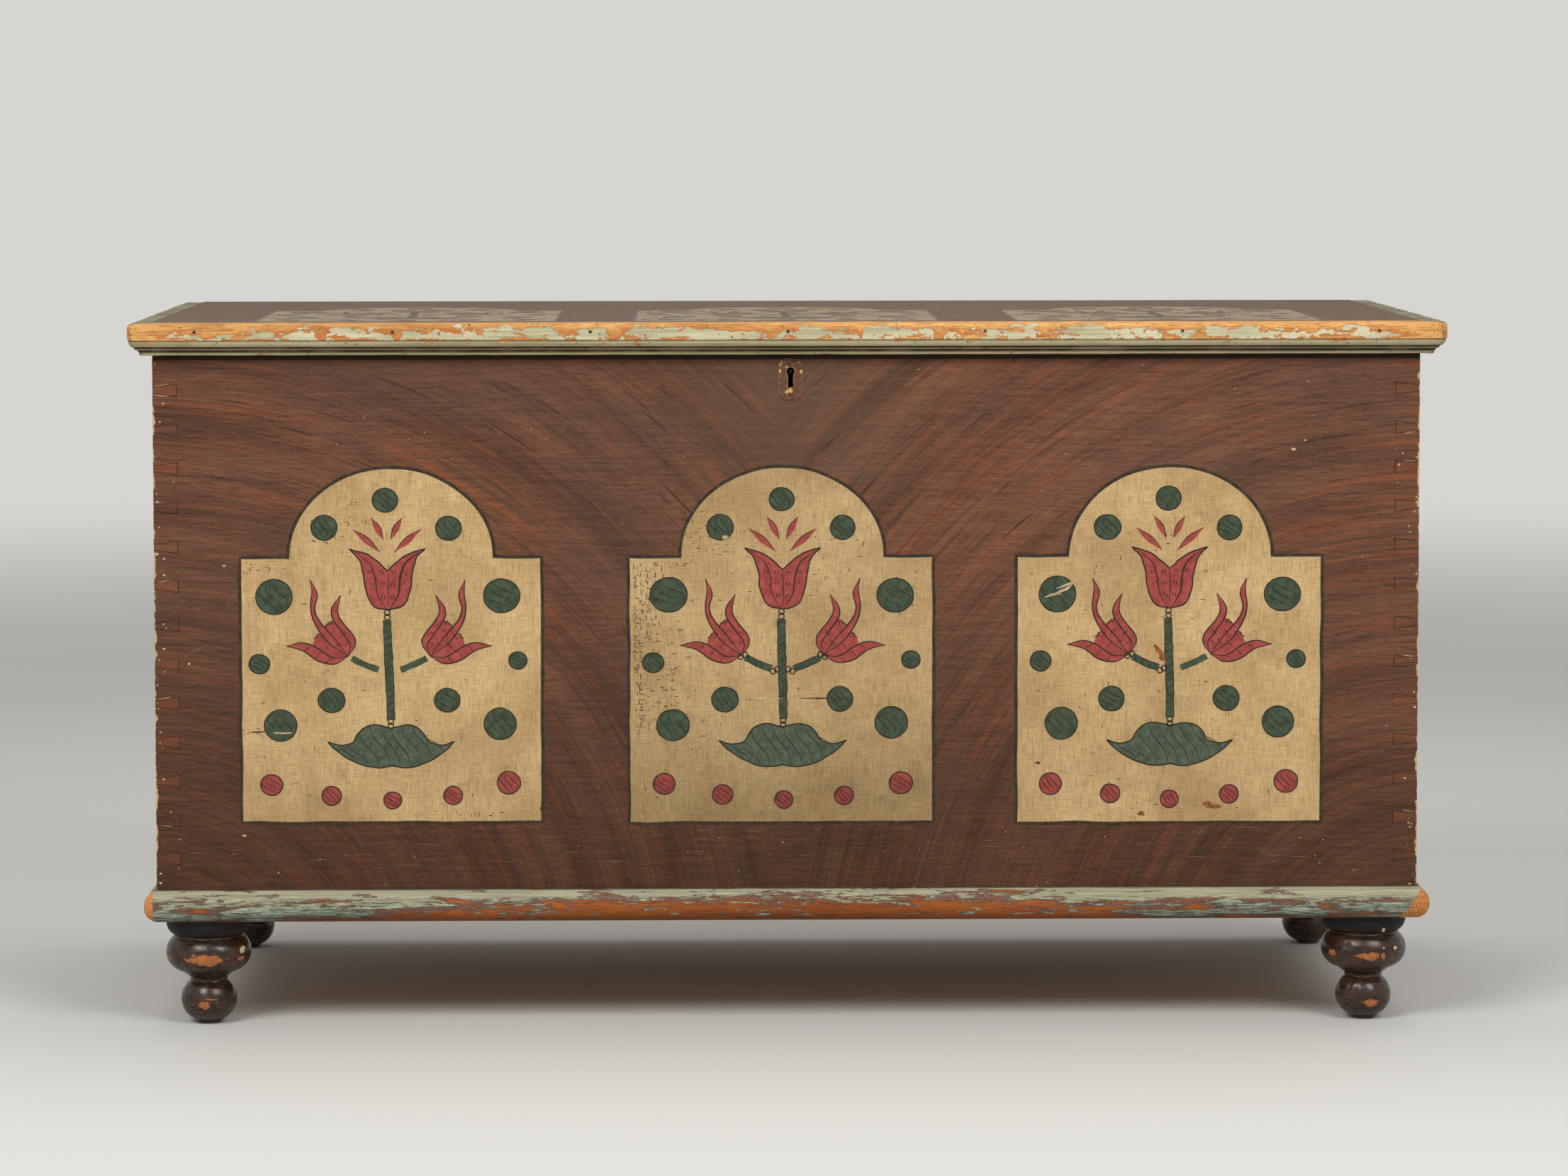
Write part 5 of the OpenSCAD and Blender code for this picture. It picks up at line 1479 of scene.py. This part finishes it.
# Material, width of the eased edges in millimetres, names
LOOKS = [
    (CASE, 1.2, ["front_board", "left_end_board", "right_end_board", "back_board"]),
    (LID, 0.6, ["lid_board"]),
    (PINE_X, 0.8, ["bottom_board", "till_bottom"]),
    (PINE_Y, 0.8, ["till_side"]),
    (BASE_LOOKS["front"], 0.3, ["base_moulding_nails"]),
    (BRASS_PLATE, 0.25, ["escutcheon", "escutcheon_nails"]),
    (IRON, 0.3, [
        "lock_case", "lock_bolt", "bolt_spring", "key_pin", "lock_nails", "back_strap_left",
        "back_strap_right", "hinge_pin_left", "hinge_pin_right", "back_strap_nails", "bottom_nails",
        "lid_strap_left", "lid_strap_right", "lid_strap_nails", "lid_staple", "staple_nails",
        "lid_moulding_nails"
    ])
]
for material, width, names in LOOKS:
    for name in names:
        target = nodes[name]
        target.data.materials.clear()
        target.data.materials.append(material)
        weld = target.modifiers.new("weld", "WELD")
        weld.merge_threshold = 0.00001
        bevel = target.modifiers.new("eased_edges", "BEVEL")
        bevel.width = width * MM
        bevel.segments = 2
        bevel.limit_method = "ANGLE"
        bevel.angle_limit = math.radians(35)


# Stage: floor, light and camera

FLOOR_R = 14.0
FADE_FROM, FADE_TO = 2.4, 7.0
AMBIENT = 0.3
LAMP_AIM = Vector((0, 0, 0.4))

# Lamps: place, size and power
LAMPS = {
    "key": ((-2.0, -3.4, 3.3), (2.0, 1.8), 118),
    "fill": ((2.2, -3.4, 3.1), (2.0, 1.8), 95),
    "top": ((0.2, 0.6, 3.6), (3.0, 2.0), 40)
}


def stage_floor():
    mesh = bmesh.new()
    bmesh.ops.create_circle(mesh, cap_ends=True, segments=128, radius=FLOOR_R)
    data = bpy.data.meshes.new("floor")
    mesh.to_mesh(data)
    mesh.free()
    floor = bpy.data.objects.new("floor", data)
    bpy.context.scene.collection.objects.link(floor)
    g = Graph("floor_pale")
    distance = g.math("SQRT", g.x * g.x + g.y * g.y)
    shader = g.node("ShaderNodeBsdfPrincipled")
    shader.inputs["Base Color"].default_value = PALE
    shader.inputs["Roughness"].default_value = 0.8
    shader.inputs["Specular IOR Level"].default_value = 0.1
    glow = g.node("ShaderNodeEmission", PALE, 1.0)
    far = distance.smooth(FADE_FROM, FADE_TO)
    both = g.node("ShaderNodeMixShader", far, shader.outputs[0], glow.outputs[0])
    g.node("ShaderNodeOutputMaterial", both.outputs[0])
    data.materials.append(g.material)


def stage_world(ambient):
    """Plain light on the object, and a pale background to the camera and in reflections."""
    world = bpy.data.worlds.new("studio")
    t = Tree(world)
    path = t.node("ShaderNodeLightPath").outputs
    seen = t.most(path["Is Camera Ray"], path["Is Glossy Ray"])
    seen = t.most(seen, path["Is Transmission Ray"])
    light = t.node("ShaderNodeBackground", (1.0, 0.985, 0.96, 1.0), ambient).outputs[0]
    back = t.node("ShaderNodeBackground", PALE, 1.0).outputs[0]
    t.node("ShaderNodeOutputWorld", t.node("ShaderNodeMixShader", seen, light, back).outputs[0])
    bpy.context.scene.world = world


def soft_lamp(name, place, size, power):
    lamp = bpy.data.lights.new(name, "AREA")
    lamp.shape = "RECTANGLE"
    lamp.size, lamp.size_y = size
    lamp.energy = power
    made = bpy.data.objects.new(name, lamp)
    made.location = place
    aim = LAMP_AIM - Vector(place)
    made.rotation_euler = aim.to_track_quat("-Z", "Y").to_euler()
    bpy.context.scene.collection.objects.link(made)


stage_floor()
stage_world(AMBIENT)
for name, lamp in LAMPS.items():
    soft_lamp(name, *lamp)

camera = bpy.data.cameras.new("camera")
camera.lens = CAMERA_LENS
camera.sensor_width = 36.0
camera.shift_y = CAMERA_SHIFT_Y
view = bpy.data.objects.new("camera", camera)
view.location = CAMERA_PLACE
view.rotation_euler = [math.radians(a) for a in CAMERA_TURN]
bpy.context.scene.collection.objects.link(view)
bpy.context.scene.camera = view
bpy.context.scene.view_settings.view_transform = "Standard"
